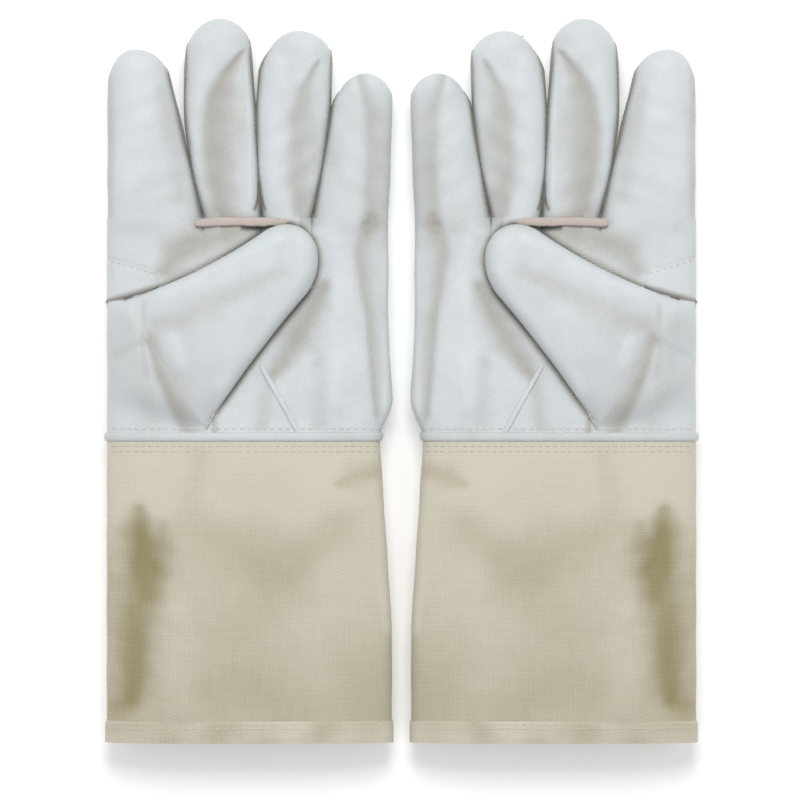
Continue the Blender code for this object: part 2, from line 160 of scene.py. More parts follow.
PALM_MARKS = (
    (0.8, 0.80, 0, ((27, 78, 4), (33, 87, 8), (44, 92, 9), (60, 96, 8), (68, 95, 4))),
    (1.0, 0.84, 0, ((99, 70, 3), (93, 58, 6.5), (86, 44, 6.5), (78, 32, 4))),
    (-1.1, -0.30, 0, ((104, 90, 3), (107, 64, 4), (108, 40, 5), (105, 16, 4))),
    (1.7, 0.66, -1, ((118, 98, 6), (115, 86, 7), (117, 70, 5), (119.5, 56, 4), (121, 36, 4), (123, 12, 3))),
    (-0.5, -0.25, 0, ((127.6, 86, 1.5), (128, 50, 1.8), (127.5, 14, 1.5))),
    (0.5, 0.42, 0, ((76, 30, 2), (73, 20, 4), (71, 7, 4))),
    (0.8, 0.28, 0, ((97, 34, 3), (98, 8, 4))),
    (0.7, 0.80, 0, ((48.8, 15, 1.2), (49.8, 1, 1.3))),
    # A nearly black painted shadow under the turned-out seam at the fingers' base.
    (0.6, 1.70, 0, ((62, 97.0, 0.8), (74, 97.2, 1.4), (85, 98.6, 0.8))),
)
THUMB_MARKS = (
    (1.3, 0.36, 0, ((24, 52, 4), (36, 55, 6.5), (50, 62, 6.5), (66, 70, 5), (80, 76, 4))),
    (1.8, 0.78, -1, ((19.5, 46, 3), (24.5, 31, 6), (30, 18, 7.5), (36, 5, 6))),
    (-0.9, -0.30, 0, ((31, 46, 2.5), (33.5, 36, 3))),
    (-0.7, -0.35, 0, ((26, 68, 3), (44, 79, 4), (62, 89, 4), (78, 92, 3))),
    (-0.6, -0.40, 0, ((54, 24, 3.5), (70, 42, 4), (86, 63, 4), (92, 76, 3))),
    (0.5, 0.30, 0, ((17.5, 62, 1.0), (17, 44, 1.2), (19, 30, 1.4))),
    (0.4, 0.20, 0, ((10, 54, 5), (14, 30, 6), (20, 10, 5))),
)
CUFF_MARKS = (
    # Painted shade in the gauntlet's folds, with a real brown stain in this deepest fold.
    (2.6, 0.62, 0, ((15, -32, 4), (17, -46, 10), (14.5, -64, 11), (13.5, -92, 9), (12, -118, 6))),
    (0.6, 0.30, 0, ((15, -42, 6), (17, -58, 7))),
    (1.2, 0.22, 0, ((26, -40, 3), (24, -56, 8), (20, -70, 5))),
    # A real ochre stain near the wrist, in a shallow dent.
    (0.9, 0.42, 0, ((106, -20, 3), (114, -16, 6), (122, -14, 5))),
    (0.8, 0.28, 0, ((50, -44, 12), (84, -60, 14), (104, -40, 10))),
    (0.9, 0.16, 0, ((44, -4, 5), (38, -34, 8))),
    # A painted highlight along the gauntlet's outer edge.
    (-0.6, -0.85, 0, ((127, -30, 3), (129, -60, 4), (130, -84, 3))),
    (-1.2, -0.10, 0, ((100, -26, 12), (96, -110, 14))),
    (-1.4, -0.12, 0, ((30, -80, 8), (36, -130, 9))),
    (-0.5, -0.30, 0, ((8, -14, 10), (20, -22, 12))),
    (0.5, 0.16, 0, ((50, -112, 18), (116, -124, 22))),
    (0.5, 0.24, 0, ((4, -122, 7), (10, -134, 7))),
)


def joint_named(name):
    return next(joint for joint in frame["joints"] if joint["name"] == name)


class Lie:
    """Where the left glove lies, read from the frame."""

    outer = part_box("left_index_back")[0].x - 0.0012
    wrist = joint_named("left_wrist_fold")["pos_m"][1]
    wrist_height = joint_named("left_wrist_fold")["pos_m"][2]
    wrist_width = 2 * (joint_named("left_wrist_fold")["pos_m"][0] - outer)
    hand_length = joint_named("left_middle_knuckle")["pos_m"][1] - wrist
    knuckle_height = joint_named("left_middle_knuckle")["pos_m"][2]
    knuckle_width = sum(shape[0] for shape in FINGER_SHAPES.values())
    thumb_middle = joint_named("left_thumb_root")["pos_m"]
    thumb_across = joint_named("left_thumb_root")["axis"]
    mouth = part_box("left_gauntlet_hem")[0].y - wrist
    mouth_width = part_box("left_gauntlet_hem")[1].x - outer
    mouth_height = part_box("left_gauntlet_hem")[1].z


def mix(a, b, share):
    return a + (b - a) * share


def smooth(share):
    share = np.clip(share, 0, 1)
    return share * share * (3 - 2 * share)


def rounded(angle, exponent):
    """Points on a superellipse of half-width and half-height 1."""
    c, s = np.cos(angle), np.sin(angle)
    return np.sign(c) * np.abs(c) ** (2 / exponent), np.sign(s) * np.abs(s) ** (2 / exponent)


def through(share, first, second, third, at):
    """A parabola through three values, at 0, at 0.5 and at the share named."""
    a = (share - 0.5) * (share - at) / (0.5 * at)
    b = share * (share - at) / (0.5 * (0.5 - at))
    c = share * (share - 0.5) / (at * (at - 0.5))
    return a * first + b * second + c * third


def wander(x, y, wave, seed):
    """A gentle uneven rise and fall between -1 and 1, made of a few crossing waves."""
    random = np.random.default_rng(seed)
    total = np.zeros(np.broadcast(x, y).shape)
    for _ in range(7):
        turn, phase = random.uniform(0, 2 * pi, 2)
        pitch = 2 * pi / (wave * random.uniform(0.6, 1.8))
        total += np.sin((x * np.cos(turn) + y * np.sin(turn)) * pitch + phase)
    return total / 4


def off_route(across, along, route):
    """Distance from the nearest point of a route, the side it lies on, and where on the route it is."""
    best = np.full(np.broadcast(across, along).shape, 1e9)
    side, where = np.zeros(best.shape), np.zeros(best.shape)
    for number, (start, end) in enumerate(zip(route, route[1:])):
        run = np.array(end[:2]) - start[:2]
        x, y = across - start[0], along - start[1]
        t = np.clip((x * run[0] + y * run[1]) / (run @ run), 0, 1)
        away = np.hypot(x - t * run[0], y - t * run[1])
        nearer = away < best
        best = np.where(nearer, away, best)
        side = np.where(nearer, np.sign(run[0] * y - run[1] * x), side)
        where = np.where(nearer, number + t, where)
    return best, side, where


def marks_at(across, along, marks):
    """How deep the marks make each point of the plan, and how much painted shade (painted highlight where
    negative) they lay on it.
    """
    depth = np.zeros(np.broadcast(across, along).shape)
    dark = np.zeros(depth.shape)
    ragged = 1 + 0.22 * wander(across, along, 0.018, 3)
    for deep, tint, crisp, route in marks:
        route = np.array(route) * MM
        away, side, where = off_route(across, along, route)
        width = np.interp(where, range(len(route)), route[:, 2])
        width = np.where(side == crisp, 0.38 * width, width)
        strength = np.exp(-((away * ragged / width) ** 2))
        depth += deep * MM * strength
        dark += tint * strength
    return depth, dark


class Sock:
    """A finger or the thumb: a sock whose width and middle line change along its length."""

    def __init__(self, shape, root_middle, across, length, tip_length, shoulder):
        self.root, self.middle, self.tip, self.sway, self.lean, self.slant = shape
        self.root_middle = root_middle
        self.across = across
        self.forward = (-across[1], across[0])
        self.length = length
        self.tip_at = 1 - tip_length / length
        self.shoulder = shoulder

    def shares(self, count, tip_count, start=0.0, end=1.0):
        body = np.linspace(start, self.tip_at, count, endpoint=False)
        tip = mix(self.tip_at, end, np.sin(np.linspace(0, pi / 2, tip_count)))
        return np.concatenate([body, tip])

    def outline(self, share, way=1):
        """Half-width on one side, sideways shift, and how far the tip has closed downwards."""
        below_tip = np.minimum(share, self.tip_at)
        width = through(below_tip, self.root, self.middle, self.tip, self.tip_at)
        shift = through(share, 0, self.sway, self.lean, self.tip_at)
        past = np.clip((share - self.tip_at) / (1 - self.tip_at), 0, 1)
        closing = np.maximum(0, 1 - past**TIP_ROUNDNESS) ** (1 / TIP_ROUNDNESS)
        start = self.tip_at - np.where(np.array(way) < 0, self.slant / self.length, 0)
        cap = mix(self.shoulder, 1, np.clip((share - start) / (1 - start), 0, 1))
        narrowing = np.sqrt(np.maximum(0, 1 - cap**2) / (1 - self.shoulder**2))
        return width / 2 * narrowing, shift, closing

    def plan(self, share, across):
        """Plan coordinates from a share of the length and a distance across."""
        ahead = share * self.length
        u = self.root_middle[0] + self.across[0] * across + self.forward[0] * ahead
        v = self.root_middle[1] + self.across[1] * across + self.forward[1] * ahead
        return u, v


def fingers():
    socks, edge = {}, 0.0
    for name in FINGER_NAMES:
        root = FINGER_SHAPES[name][0]
        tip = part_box("left_" + name + "_front")[1].y - Lie.wrist
        middle = (edge + root / 2, Lie.hand_length)
        length = tip - Lie.hand_length
        socks[name] = Sock(FINGER_SHAPES[name], middle, (1, 0), length, TIP_LENGTH, TIP_SHOULDER)
        edge += root
    return socks


def thumb():
    across = Lie.thumb_across[:2]
    middle = (Lie.thumb_middle[0] - Lie.outer, Lie.thumb_middle[1] - Lie.wrist)
    return Sock((THUMB_ROOT, *THUMB_SHAPE), middle, across, THUMB_LENGTH, THUMB_TIP_LENGTH, THUMB_SHOULDER)


def hand_width(along):
    widest = Lie.knuckle_width + HEEL_SWELL
    heel = mix(Lie.wrist_width, widest, smooth(along / HEEL_AT))
    upper = mix(widest, Lie.knuckle_width, smooth((along - HEEL_AT) / (Lie.hand_length / 3)))
    return np.where(along < HEEL_AT, heel, upper)


def hand_height(along):
    return mix(Lie.wrist_height, Lie.knuckle_height, along / Lie.hand_length)


def hand_arch(across, along):
    share = np.clip(np.abs(2 * across / hand_width(along) - 1), 0, 1)
    return (1 - share**HAND_ROUNDNESS) ** (1 / HAND_ROUNDNESS)


def palm_height(across, along, marks=PALM_MARKS):
    """The height of the palm where it isn't divided into fingers, dents included."""
    half = hand_height(along) / 2
    arch = hand_arch(across, along)
    return half + half * arch - marks_at(across, along, marks)[0] * arch


def flattened(arch):
    """The share of its height that a surface lying on the floor reaches: an arch with a flat top."""
    return np.minimum(1, arch * BACK_FLATTENING)


class Patch:
    """A grid of surface points in the plan, with how dark each is and which edges are sewn."""

    def __init__(self, across, along, up, dark=0.0, sewn=""):
        self.points = np.stack(np.broadcast_arrays(across, along, up), axis=-1).astype(float)
        self.dark = np.broadcast_to(dark, self.points.shape[:2]).astype(float).copy()
        self.sewn = sewn

    def normals(self, outward):
        rows = np.gradient(self.points, axis=0)
        columns = np.gradient(self.points, axis=1)
        normal = np.cross(rows, columns)
        normal /= np.linalg.norm(normal, axis=2, keepdims=True) + 1e-12
        facing = np.sum(normal * np.array(outward))
        return normal if facing > 0 else -normal

    def edge_distance(self, edge):
        axis = 1 if edge in "lr" else 0
        steps = np.linalg.norm(np.diff(self.points, axis=axis), axis=2)
        pad = [(0, 0), (0, 0)]
        pad[axis] = (1, 0)
        run = np.cumsum(np.pad(steps, pad), axis=axis)
        return run if edge in "lb" else np.take(run, [-1], axis=axis) - run

    def sew(self, outward, depth, pitch=0.0032, reach=0.0021):
        """Pulls the surface in at its sewn edges (l, r, b, t), more at each stitch, and paints shade along
        them.
        """
        normal = self.normals(outward)
        for edge in self.sewn:
            away = self.edge_distance(edge)
            other = self.edge_distance("b" if edge in "lr" else "l")
            pull = np.exp(-((away / reach) ** 2))
            pucker = 1 + 0.22 * np.cos(2 * pi * other / pitch)
            wide = 0.30 * np.exp(-((away / (2.6 * reach)) ** 2))
            move = depth * (pull * pucker + wide * np.sin(other / 0.0047 + away / 0.0031))
            self.points -= normal * move[..., None]
            # Painted shade along the sewn edge, as strong as the pull.
            self.dark += SEAM_SHADE * pull
        return self


def in_frame(points, side):
    """Plan points in the pair's frame."""
    moved = np.array(points, float)
    moved[..., 0] = side * (moved[..., 0] + Lie.outer)
    moved[..., 1] += Lie.wrist
    return moved


def bpy_object(name, data):
    obj = bpy.data.objects.new(name, data)
    bpy.context.scene.collection.objects.link(obj)
    return obj


def settle(obj):
    """Makes the object's modifiers final and keeps the plain mesh."""
    graph = bpy.context.evaluated_depsgraph_get()
    mesh = bpy.data.meshes.new_from_object(obj.evaluated_get(graph), depsgraph=graph)
    old = obj.data
    obj.modifiers.clear()
    obj.data = mesh
    mesh.set_sharp_from_angle(angle=0.7)
    mesh.name = obj.name
    bpy.data.meshes.remove(old)
    return obj


def cloth_object(name, patch, outward, side, finishes, thickness, closed=False):
    """A shell of leather or canvas through a patch's points, with its flat layout as UVs in metres."""
    rows, columns = patch.points.shape[:2]
    points = in_frame(patch.points, side)
    index = np.arange(rows * columns).reshape(rows, columns)
    if closed:
        index = np.concatenate([index, index[:, :1]], axis=1)
    quads = np.stack([index[:-1, :-1], index[:-1, 1:], index[1:, 1:], index[1:, :-1]], axis=-1)
    quads = quads.reshape(-1, 4)
    corner = points.reshape(-1, 3)[quads]
    facing = np.cross(corner[:, 2] - corner[:, 0], corner[:, 3] - corner[:, 1])
    if callable(outward):
        aim = outward(corner.mean(axis=1))
    else:
        aim = np.array(outward, float) * (side, 1, 1)
    if np.sum(facing * aim) < 0:
        quads = quads[:, ::-1]
    mesh = bpy.data.meshes.new(name)
    mesh.from_pydata(points.reshape(-1, 3), [], quads.tolist())
    dark = mesh.attributes.new("dark", "FLOAT", "POINT")
    dark.data.foreach_set("value", patch.dark.reshape(-1).astype(np.float32))
    lay = flat_layout(patch.points)
    loops = np.zeros(len(mesh.loops), np.int32)
    mesh.loops.foreach_get("vertex_index", loops)
    layer = mesh.uv_layers.new(name="lay")
    layer.data.foreach_set("uv", lay.reshape(-1, 2)[loops].reshape(-1).astype(np.float32))
    for finish in finishes:
        mesh.materials.append(finish)
    bm = bmesh.new()
    bm.from_mesh(mesh)
    bmesh.ops.remove_doubles(bm, verts=bm.verts, dist=2e-5)
    bmesh.ops.dissolve_degenerate(bm, edges=bm.edges, dist=1e-6)
    bm.to_mesh(mesh)
    bm.free()
    mesh.shade_smooth()
    obj = bpy_object(name, mesh)
    shell = obj.modifiers.new("thickness", "SOLIDIFY")
    shell.thickness = thickness
    shell.offset = -1
    shell.use_quality_normals = True
    shell.material_offset = len(finishes) - 1
    return settle(obj)


def flat_layout(points):
    """Distances along the rows and columns, the places of each point in the flat cloth."""
    across = np.cumsum(np.pad(np.linalg.norm(np.diff(points, axis=1), axis=2), ((0, 0), (1, 0))), axis=1)
    along = np.cumsum(np.pad(np.linalg.norm(np.diff(points, axis=0), axis=2), ((1, 0), (0, 0))), axis=0)
    middle = points.shape[1] // 2
    return np.stack([across - across[:, middle:middle + 1], along], axis=-1)


# ---------------------------------------------------------------- leather, canvas and thread


class Wiring:
    """Short ways to add and join nodes in one tree."""

    def __init__(self, tree):
        self.tree = tree

    def add(self, kind, given=None, **settings):
        """A node with its settings, and with values or other nodes' outputs put in its inputs."""
        node = self.tree.nodes.new(kind)
        for name, value in settings.items():
            setattr(node, name, value)
        for name, value in (given or {}).items():
            self.put(node.inputs[name], value)
        return node

    def put(self, socket, value):
        if isinstance(value, bpy.types.NodeSocket):
            self.tree.links.new(value, socket)
        else:
            socket.default_value = value

    def maths(self, operation, *values, clamp=False):
        node = self.add("ShaderNodeMath", operation=operation, use_clamp=clamp)
        for socket, value in zip(node.inputs, values):
            self.put(socket, value)
        return node.outputs[0]

    def total(self, first, *terms, clamp=False):
        """The sum of its terms, each of them a value and its factor."""
        for number, (value, factor) in enumerate(terms, 1):
            term = self.maths("MULTIPLY", value, factor) if factor != 1 else value
            first = self.maths("ADD", first, term, clamp=clamp and number == len(terms))
        return first

    def blend(self, share, first, second):
        node = self.add("ShaderNodeMix", data_type="RGBA", blend_type="MIX", clamp_factor=True)
        for name, value in (("Factor", share), ("A", first), ("B", second)):
            self.put(node.inputs[name], value)
        return node.outputs["Result"]

    def noise(self, place, scale, detail=3.0, roughness=0.5):
        given = {"Vector": place, "Scale": scale, "Detail": detail, "Roughness": roughness}
        return self.add("ShaderNodeTexNoise", given, noise_dimensions="3D").outputs["Fac"]

    def ramp(self, value, low, high, start=0.0, end=1.0):
        given = {"From Min": low, "From Max": high, "To Min": start, "To Max": end, "Value": value}
        return self.add("ShaderNodeMapRange", given, clamp=True).outputs["Result"]


def colour(red, green, blue):
    return (red, green, blue, 1.0)


def pattern_group(name):
    """A node group for a material's pattern: its wiring, what it is given and what it makes."""
    group = bpy.data.node_groups.new(name, "ShaderNodeTree")
    inputs = {"Vector": "Vector", "Scale": "Float", "Dark": "Float", "Base": "Color", "Shade": "Color"}
    outputs = {"Color": "Color", "Roughness": "Float", "Height": "Float"}
    for way, sockets in (("INPUT", inputs), ("OUTPUT", outputs)):
        for label, kind in sockets.items():
            group.interface.new_socket(label, in_out=way, socket_type="NodeSocket" + kind)
    w = Wiring(group)
    return w, w.add("NodeGroupInput").outputs, w.add("NodeGroupOutput").inputs


def grain_group():
    """Leather grain: fine pebbles between creases with painted shade in them, pores, slow changes of tone,
    and the painted shade and shadow of the Dark input.
    """
    w, given, made = pattern_group("leather_grain")
    place = given["Vector"]
    pebbles = w.add("ShaderNodeTexVoronoi", {"Vector": place, "Scale": given["Scale"]}, feature="F1")
    creases = w.add("ShaderNodeTexVoronoi", {"Vector": place, "Scale": 330.0}, feature="DISTANCE_TO_EDGE")
    fold = w.ramp(creases.outputs["Distance"], 0.0, 0.10)
    fine = w.noise(place, 1500.0, 2.0)
    broad = w.noise(place, 55.0, 4.0, 0.55)
    slow = w.noise(place, 16.0, 3.0)
    height = w.maths("MULTIPLY", pebbles.outputs["Distance"], -0.30)
    height = w.total(height, (fold, 0.35), (fine, 0.22), (broad, 0.55))
    dirt, tone = w.ramp(broad, 0.45, 0.80), w.ramp(slow, 0.30, 0.72)
    # Painted shade in the grain's creases.
    crease_shade = w.maths("SUBTRACT", 1.0, fold)
    dark = w.total(given["Dark"], (dirt, 0.22), (tone, 0.14), (crease_shade, 0.06), clamp=True)
    tone = w.blend(dark, given["Base"], given["Shade"])
    # Dark above 1 blends to a nearly black painted shadow.
    deep = w.maths("MULTIPLY", w.maths("SUBTRACT", given["Dark"], 1.0, clamp=True), 0.85)
    w.put(made["Color"], w.blend(deep, tone, colour(0.07, 0.075, 0.08)))
    w.put(made["Roughness"], w.ramp(w.total(fine, (fold, -0.4)), -0.4, 1.0, 0.44, 0.68))
    w.put(made["Height"], height)
    return w.tree


def weave_group():
    """A plain weave: warp and weft that pass over and under, with thick places, loose fibres and painted
    shade between the threads.
    """
    w, given, made = pattern_group("canvas_weave")
    place = w.add("ShaderNodeSeparateXYZ", {0: given["Vector"]}).outputs
    waves = [w.maths("SINE", w.maths("MULTIPLY", place[axis], w.maths("MULTIPLY", given["Scale"], pi)))
             for axis in "XY"]
    threads = w.maths("MAXIMUM", *[w.maths("ABSOLUTE", wave) for wave in waves])
    streaks = []
    for stretch in ((60, 900, 1), (900, 60, 1)):
        drawn = w.add("ShaderNodeMapping", {"Vector": given["Vector"], "Scale": stretch}).outputs[0]
        streaks.append(w.ramp(w.noise(drawn, 1.0, 2.0), 0.35, 0.8))
    fibres = w.maths("ADD", *streaks)
    height = w.maths("MULTIPLY", w.maths("MULTIPLY", *waves), 0.5)
    height = w.total(height, (threads, 0.5), (fibres, 0.35))
    slow = w.ramp(w.noise(given["Vector"], 22.0, 4.0), 0.30, 0.80, -0.06, 0.24)
    # Painted shade in the gaps between the threads.
    between = w.maths("SUBTRACT", 1.0, threads)
    dark = w.total(given["Dark"], (slow, 1), (between, 0.30), (fibres, -0.07), clamp=True)
    w.put(made["Color"], w.blend(dark, given["Base"], given["Shade"]))
    w.put(made["Roughness"], w.ramp(height, 0.0, 1.2, 0.95, 0.80))
    w.put(made["Height"], height)
    return w.tree


def finish(name, group, base, shade, scale, bump, sheen, vector="Object"):
    """One material: a shared pattern group, its colours and its own shader."""
    made = bpy.data.materials.new("glove_" + name)
    made.use_nodes = True
    w = Wiring(made.node_tree)
    place = w.add("ShaderNodeTexCoord").outputs[vector]
    # The dark attribute: painted shade in dents, seams and tucks, painted highlights on ridges and nearly
    # black painted shadow lines, with real stains and random tone mixed in.
    dark = w.add("ShaderNodeAttribute", attribute_name="dark").outputs["Fac"]
    pattern = w.add("ShaderNodeGroup", node_tree=group)
    for socket, value in zip(pattern.inputs, (place, scale, dark, base, shade)):
        w.put(socket, value)
    given = {"Strength": bump, "Distance": 0.0004, "Height": pattern.outputs["Height"]}
    relief = w.add("ShaderNodeBump", given)
    shader = made.node_tree.nodes["Principled BSDF"].inputs
    w.put(shader["Base Color"], pattern.outputs["Color"])
    w.put(shader["Roughness"], pattern.outputs["Roughness"])
    w.put(shader["Normal"], relief.outputs["Normal"])
    w.put(shader["Sheen Weight"], sheen)
    w.put(shader["Sheen Roughness"], 0.5)
    w.put(shader["Specular IOR Level"], 0.35)
    return made


def finishes():
    """Every finish of the gloves, made once."""
    if FINISHES:
        return FINISHES
    tones = bpy.context.scene.glove_tones
    grain, weave = grain_group(), weave_group()
    leather, shade = (*tones.leather, 1), (*tones.shaded_leather, 1)
    # fold: the canvas's painted shade in its folds, also the colour of its real stains.
    canvas, fold = (*tones.canvas, 1), (*tones.canvas_fold, 1)
    for name, *settings in (
        ("leather", grain, leather, shade, 900, 0.34, 0.15),
        # The fingers' side walls: the same leather in its painted shade colour.
        ("side_leather", grain, shade, colour(0.30, 0.30, 0.27), 900, 0.4, 0.1),
        ("suede", grain, colour(0.62, 0.58, 0.52), shade, 1600, 0.8, 0.4),
        ("welt", grain, (*tones.welt, 1), colour(0.34, 0.24, 0.18), 900, 0.4, 0.1),
        ("canvas", weave, canvas, fold, 1100, 0.55, 0.2, "UV"),
        ("thread", grain, (*tones.thread, 1), shade, 3000, 0.6, 0.2),
        ("canvas_thread", grain, canvas, fold, 3000, 0.6, 0.2),
    ):
        FINISHES[name] = finish(name, *settings)
    return FINISHES


# ---------------------------------------------------------------- the hand


def knuckle_columns(socks, per_finger):
    """Points round the top half of each finger's root: across, and the share of the height."""
    across, up = [], []
    for sock in socks.values():
        angles = np.linspace(pi, 0, per_finger + 1)
        c, s = rounded(angles, FINGER_ROUNDNESS)
        across.append(sock.root_middle[0] + c * sock.root / 2)
        up.append(s)
    return np.concatenate(across), np.concatenate(up)


def hand_grid(socks, along, side, cut, per_finger=34):
    """The palm (side 1) or the back (-1) as a grid, from the cut to the little finger's side."""
    knuckle, arc = knuckle_columns(socks, per_finger)
    v = along[:, None]
    flat_to = FLAT_SHARE * Lie.hand_length
    divided = smooth((v - flat_to) / (Lie.hand_length - flat_to))
    share = ((knuckle - knuckle[0]) / (knuckle[-1] - knuckle[0]))[None, :]
    flat = mix(cut[:, None], hand_width(v), share)
    arch = mix(hand_arch(flat, v), np.clip(arc, 0, 1)[None, :], divided)
    u = mix(flat, knuckle[None, :], divided)
    half = hand_height(v) / 2
    least = mix(0.0, 0.0009, divided) * (1 - np.abs(2 * share - 1) ** 40)
    settled = smooth((Lie.hand_length - v) / 0.012)
    if side > 0:
        # The marks paint shade in the palm's dents and highlights on its ridges.
        depth, dark = marks_at(u, v, PALM_MARKS + FINGER_MARKS)
        bulge = 0.0005 * wander(u, v, 0.030, 5) * arch * settled
        bulge += 0.00010 * wander(u, v, 0.0065, 6) * arch
        up = half + np.maximum(least, half * arch - depth * arch + bulge)
        # A nearly black painted shadow along the thumb's outline on the palm.
        dark = dark + 1.7 * np.exp(-((thumb_distance(u, v) / THUMB_CONTOUR_WIDTH) ** 2))
    else:
        dark = 0.2 + 0.25 * wander(u, v, 0.05, 8)
        wrinkle = 0.0011 * wander(u, v, 0.024, 9) * smooth((1 - arch) / 0.4) * settled
        up = half - np.maximum(least, half * flattened(arch) + wrinkle * arch)
    return u, v, up, np.clip(dark, LIGHTEST, DARKEST)


def thumb_distance(across, along):
    """Distance in the plan from the thumb's outline."""
    sock = thumb()
    share = np.linspace(0.1, 1, 60)
    half, shift, _ = sock.outline(share)
    edges = [np.stack(sock.plan(share, shift + way * half), axis=1) for way in (1, -1)]
    route = np.concatenate([edges[0], edges[1][-2::-1]])
    return off_route(across, along, route)[0]


def palm_cut(along):
    """The palm's index-side edge: the outer seam, then round the patch, then beside the thumb's root."""
    sock = thumb()
    slope = -sock.across[0] / sock.across[1]
    edge = sock.root_middle[0] + (sock.root_middle[1] - along) * slope + THUMB_HOLE * hypot(1, slope)
    upper = (along - KEYSTONE_INNER_TOP) / (KEYSTONE_TOP - KEYSTONE_INNER_TOP)
    edge = mix(edge, 0.0420, smooth((0.0125 - along) / 0.0030))
    edge = np.where(along >= KEYSTONE_INNER_FOOT, KEYSTONE_REACH - 0.0008, edge)
    edge = np.where(along >= KEYSTONE_INNER_TOP, mix(KEYSTONE_REACH - 0.0008, 0, upper), edge)
    return np.where(along >= KEYSTONE_TOP, 0.0, edge)


def make_hand(hand, side, use):
    socks = fingers()
    body = hand + "_hand"
    leathers = (use["leather"], use["suede"])
    thickness = bpy.context.scene.glove_sizes.leather
    start = BINDING_WIDTH * 0.5
    rows = np.concatenate([
        np.arange(start, KEYSTONE_INNER_FOOT - 0.0008, 0.0012),
        np.linspace(KEYSTONE_INNER_FOOT, KEYSTONE_TOP, 13),
        np.arange(KEYSTONE_TOP + 0.0011, Lie.hand_length - 0.0004, 0.0011),
        [Lie.hand_length],
    ])
    u, v, up, dark = hand_grid(socks, rows, 1, palm_cut(rows))
    palm = Patch(u, v, up, dark, sewn="r").sew(UP, 0.0006)
    obj = cloth_object(hand + "_palm", palm, UP, side, leathers, thickness)
    dress(obj, "leather", body, hand + "_palm_panel")

    rows = np.append(np.arange(start, Lie.hand_length - 0.0004, 0.0014), Lie.hand_length)
    u, v, up, dark = hand_grid(socks, rows, -1, 0 * rows, 28)
    back = Patch(u, v, up, dark, sewn="lr").sew(DOWN, 0.0005)
    obj = cloth_object(hand + "_back", back, DOWN, side, leathers, thickness)
    dress(obj, "leather", body, hand + "_back_panel")

    turn = np.linspace(0, 1, 34) ** 1.8
    reach = (KEYSTONE_REACH * turn)[None, :]
    foot = mix(KEYSTONE_FOOT, KEYSTONE_INNER_FOOT, turn)[None, :]
    top = mix(KEYSTONE_TOP, KEYSTONE_INNER_TOP, turn)[None, :] + 0.0006
    tucked = foot - mix(0.0030, KEYSTONE_TUCK, smooth(reach / 0.008))
    v = mix(tucked, top, np.linspace(0, 1, 34)[:, None])
    proud = 0.0009 * smooth(reach / 0.004) - 0.0014 * smooth((foot - v) / 0.0050)
    up = palm_height(reach, v) + proud
    # Painted shadow, nearly black, on the part of the patch tucked under the thumb.
    dark = -0.15 + 1.75 * smooth((foot + 0.002 - v) / 0.003)
    patch = Patch(reach, v, up, dark, sewn="tr").sew(UP, 0.0004)
    obj = cloth_object(hand + "_keystone", patch, UP, side, leathers, thickness)
    dress(obj, "leather", body, hand + "_keystone_patch")


def dress(obj, slot, body, *nodes):
    """The piece rides on a body, or keeps its place in the world when it is given a joint's bend, and stands
    for its CAD nodes, which it hides. The slot is not used.
    """
    if isinstance(body, str):
        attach(obj, body)
    else:
        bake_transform(obj)
    if nodes:
        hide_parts(*nodes)
    return obj


def bend(joint):
    """The two bodies that a joint joins, and where the leather between them starts and ends its bend."""
    found = joint_named(joint)
    start = Vector(found["pos_m"])
    forward = Vector((0, 0, 1)).cross(Vector(found["axis"]))
    return found["parent"], found["child"], start, start + forward * BEND_LENGTH


# ---------------------------------------------------------------- the fingers


def wall_reach(share):
    """How far round a side wall reaches, closing to a point at the fingertip."""
    return FOURCHETTE_ANGLE * (1 - smooth((share - 0.78) / 0.19))


def sock_patch(sock, share, angle, part, seed=0):
    """The front, the back or a side wall of a finger."""
    c, s = rounded(angle, FINGER_ROUNDNESS)
    half, shift, closing = sock.outline(share, c)
    u, v = sock.plan(share, shift + c * half)
    lift = np.abs(s)
    middle = Lie.knuckle_height / 2
    upper, lower = middle + middle * closing * lift, middle - middle * closing * flattened(lift)
    loose = lift * closing * smooth(share * sock.length / 0.012)
    if part == "front":
        # The marks paint shade in the finger's dents and highlights on its ridges.
        depth, dark = marks_at(u, v, FINGER_MARKS + PALM_MARKS)
        up = upper - depth * lift * smooth(closing * 1.5) + 0.00045 * wander(u, v, 0.016, seed) * loose
    elif part == "back":
        up = lower - 0.0006 * wander(u, v, 0.013, seed) * smooth((1 - lift) / 0.5) * loose
        dark = 0.2 + 0.2 * wander(u, v, 0.03, seed)
    else:
        # The side walls carry painted shade all over.
        up, dark = np.where(s >= 0, upper, lower), WALL_SHADE
    return Patch(u, v, up, np.clip(dark, LIGHTEST, DARKEST), sewn="lr")


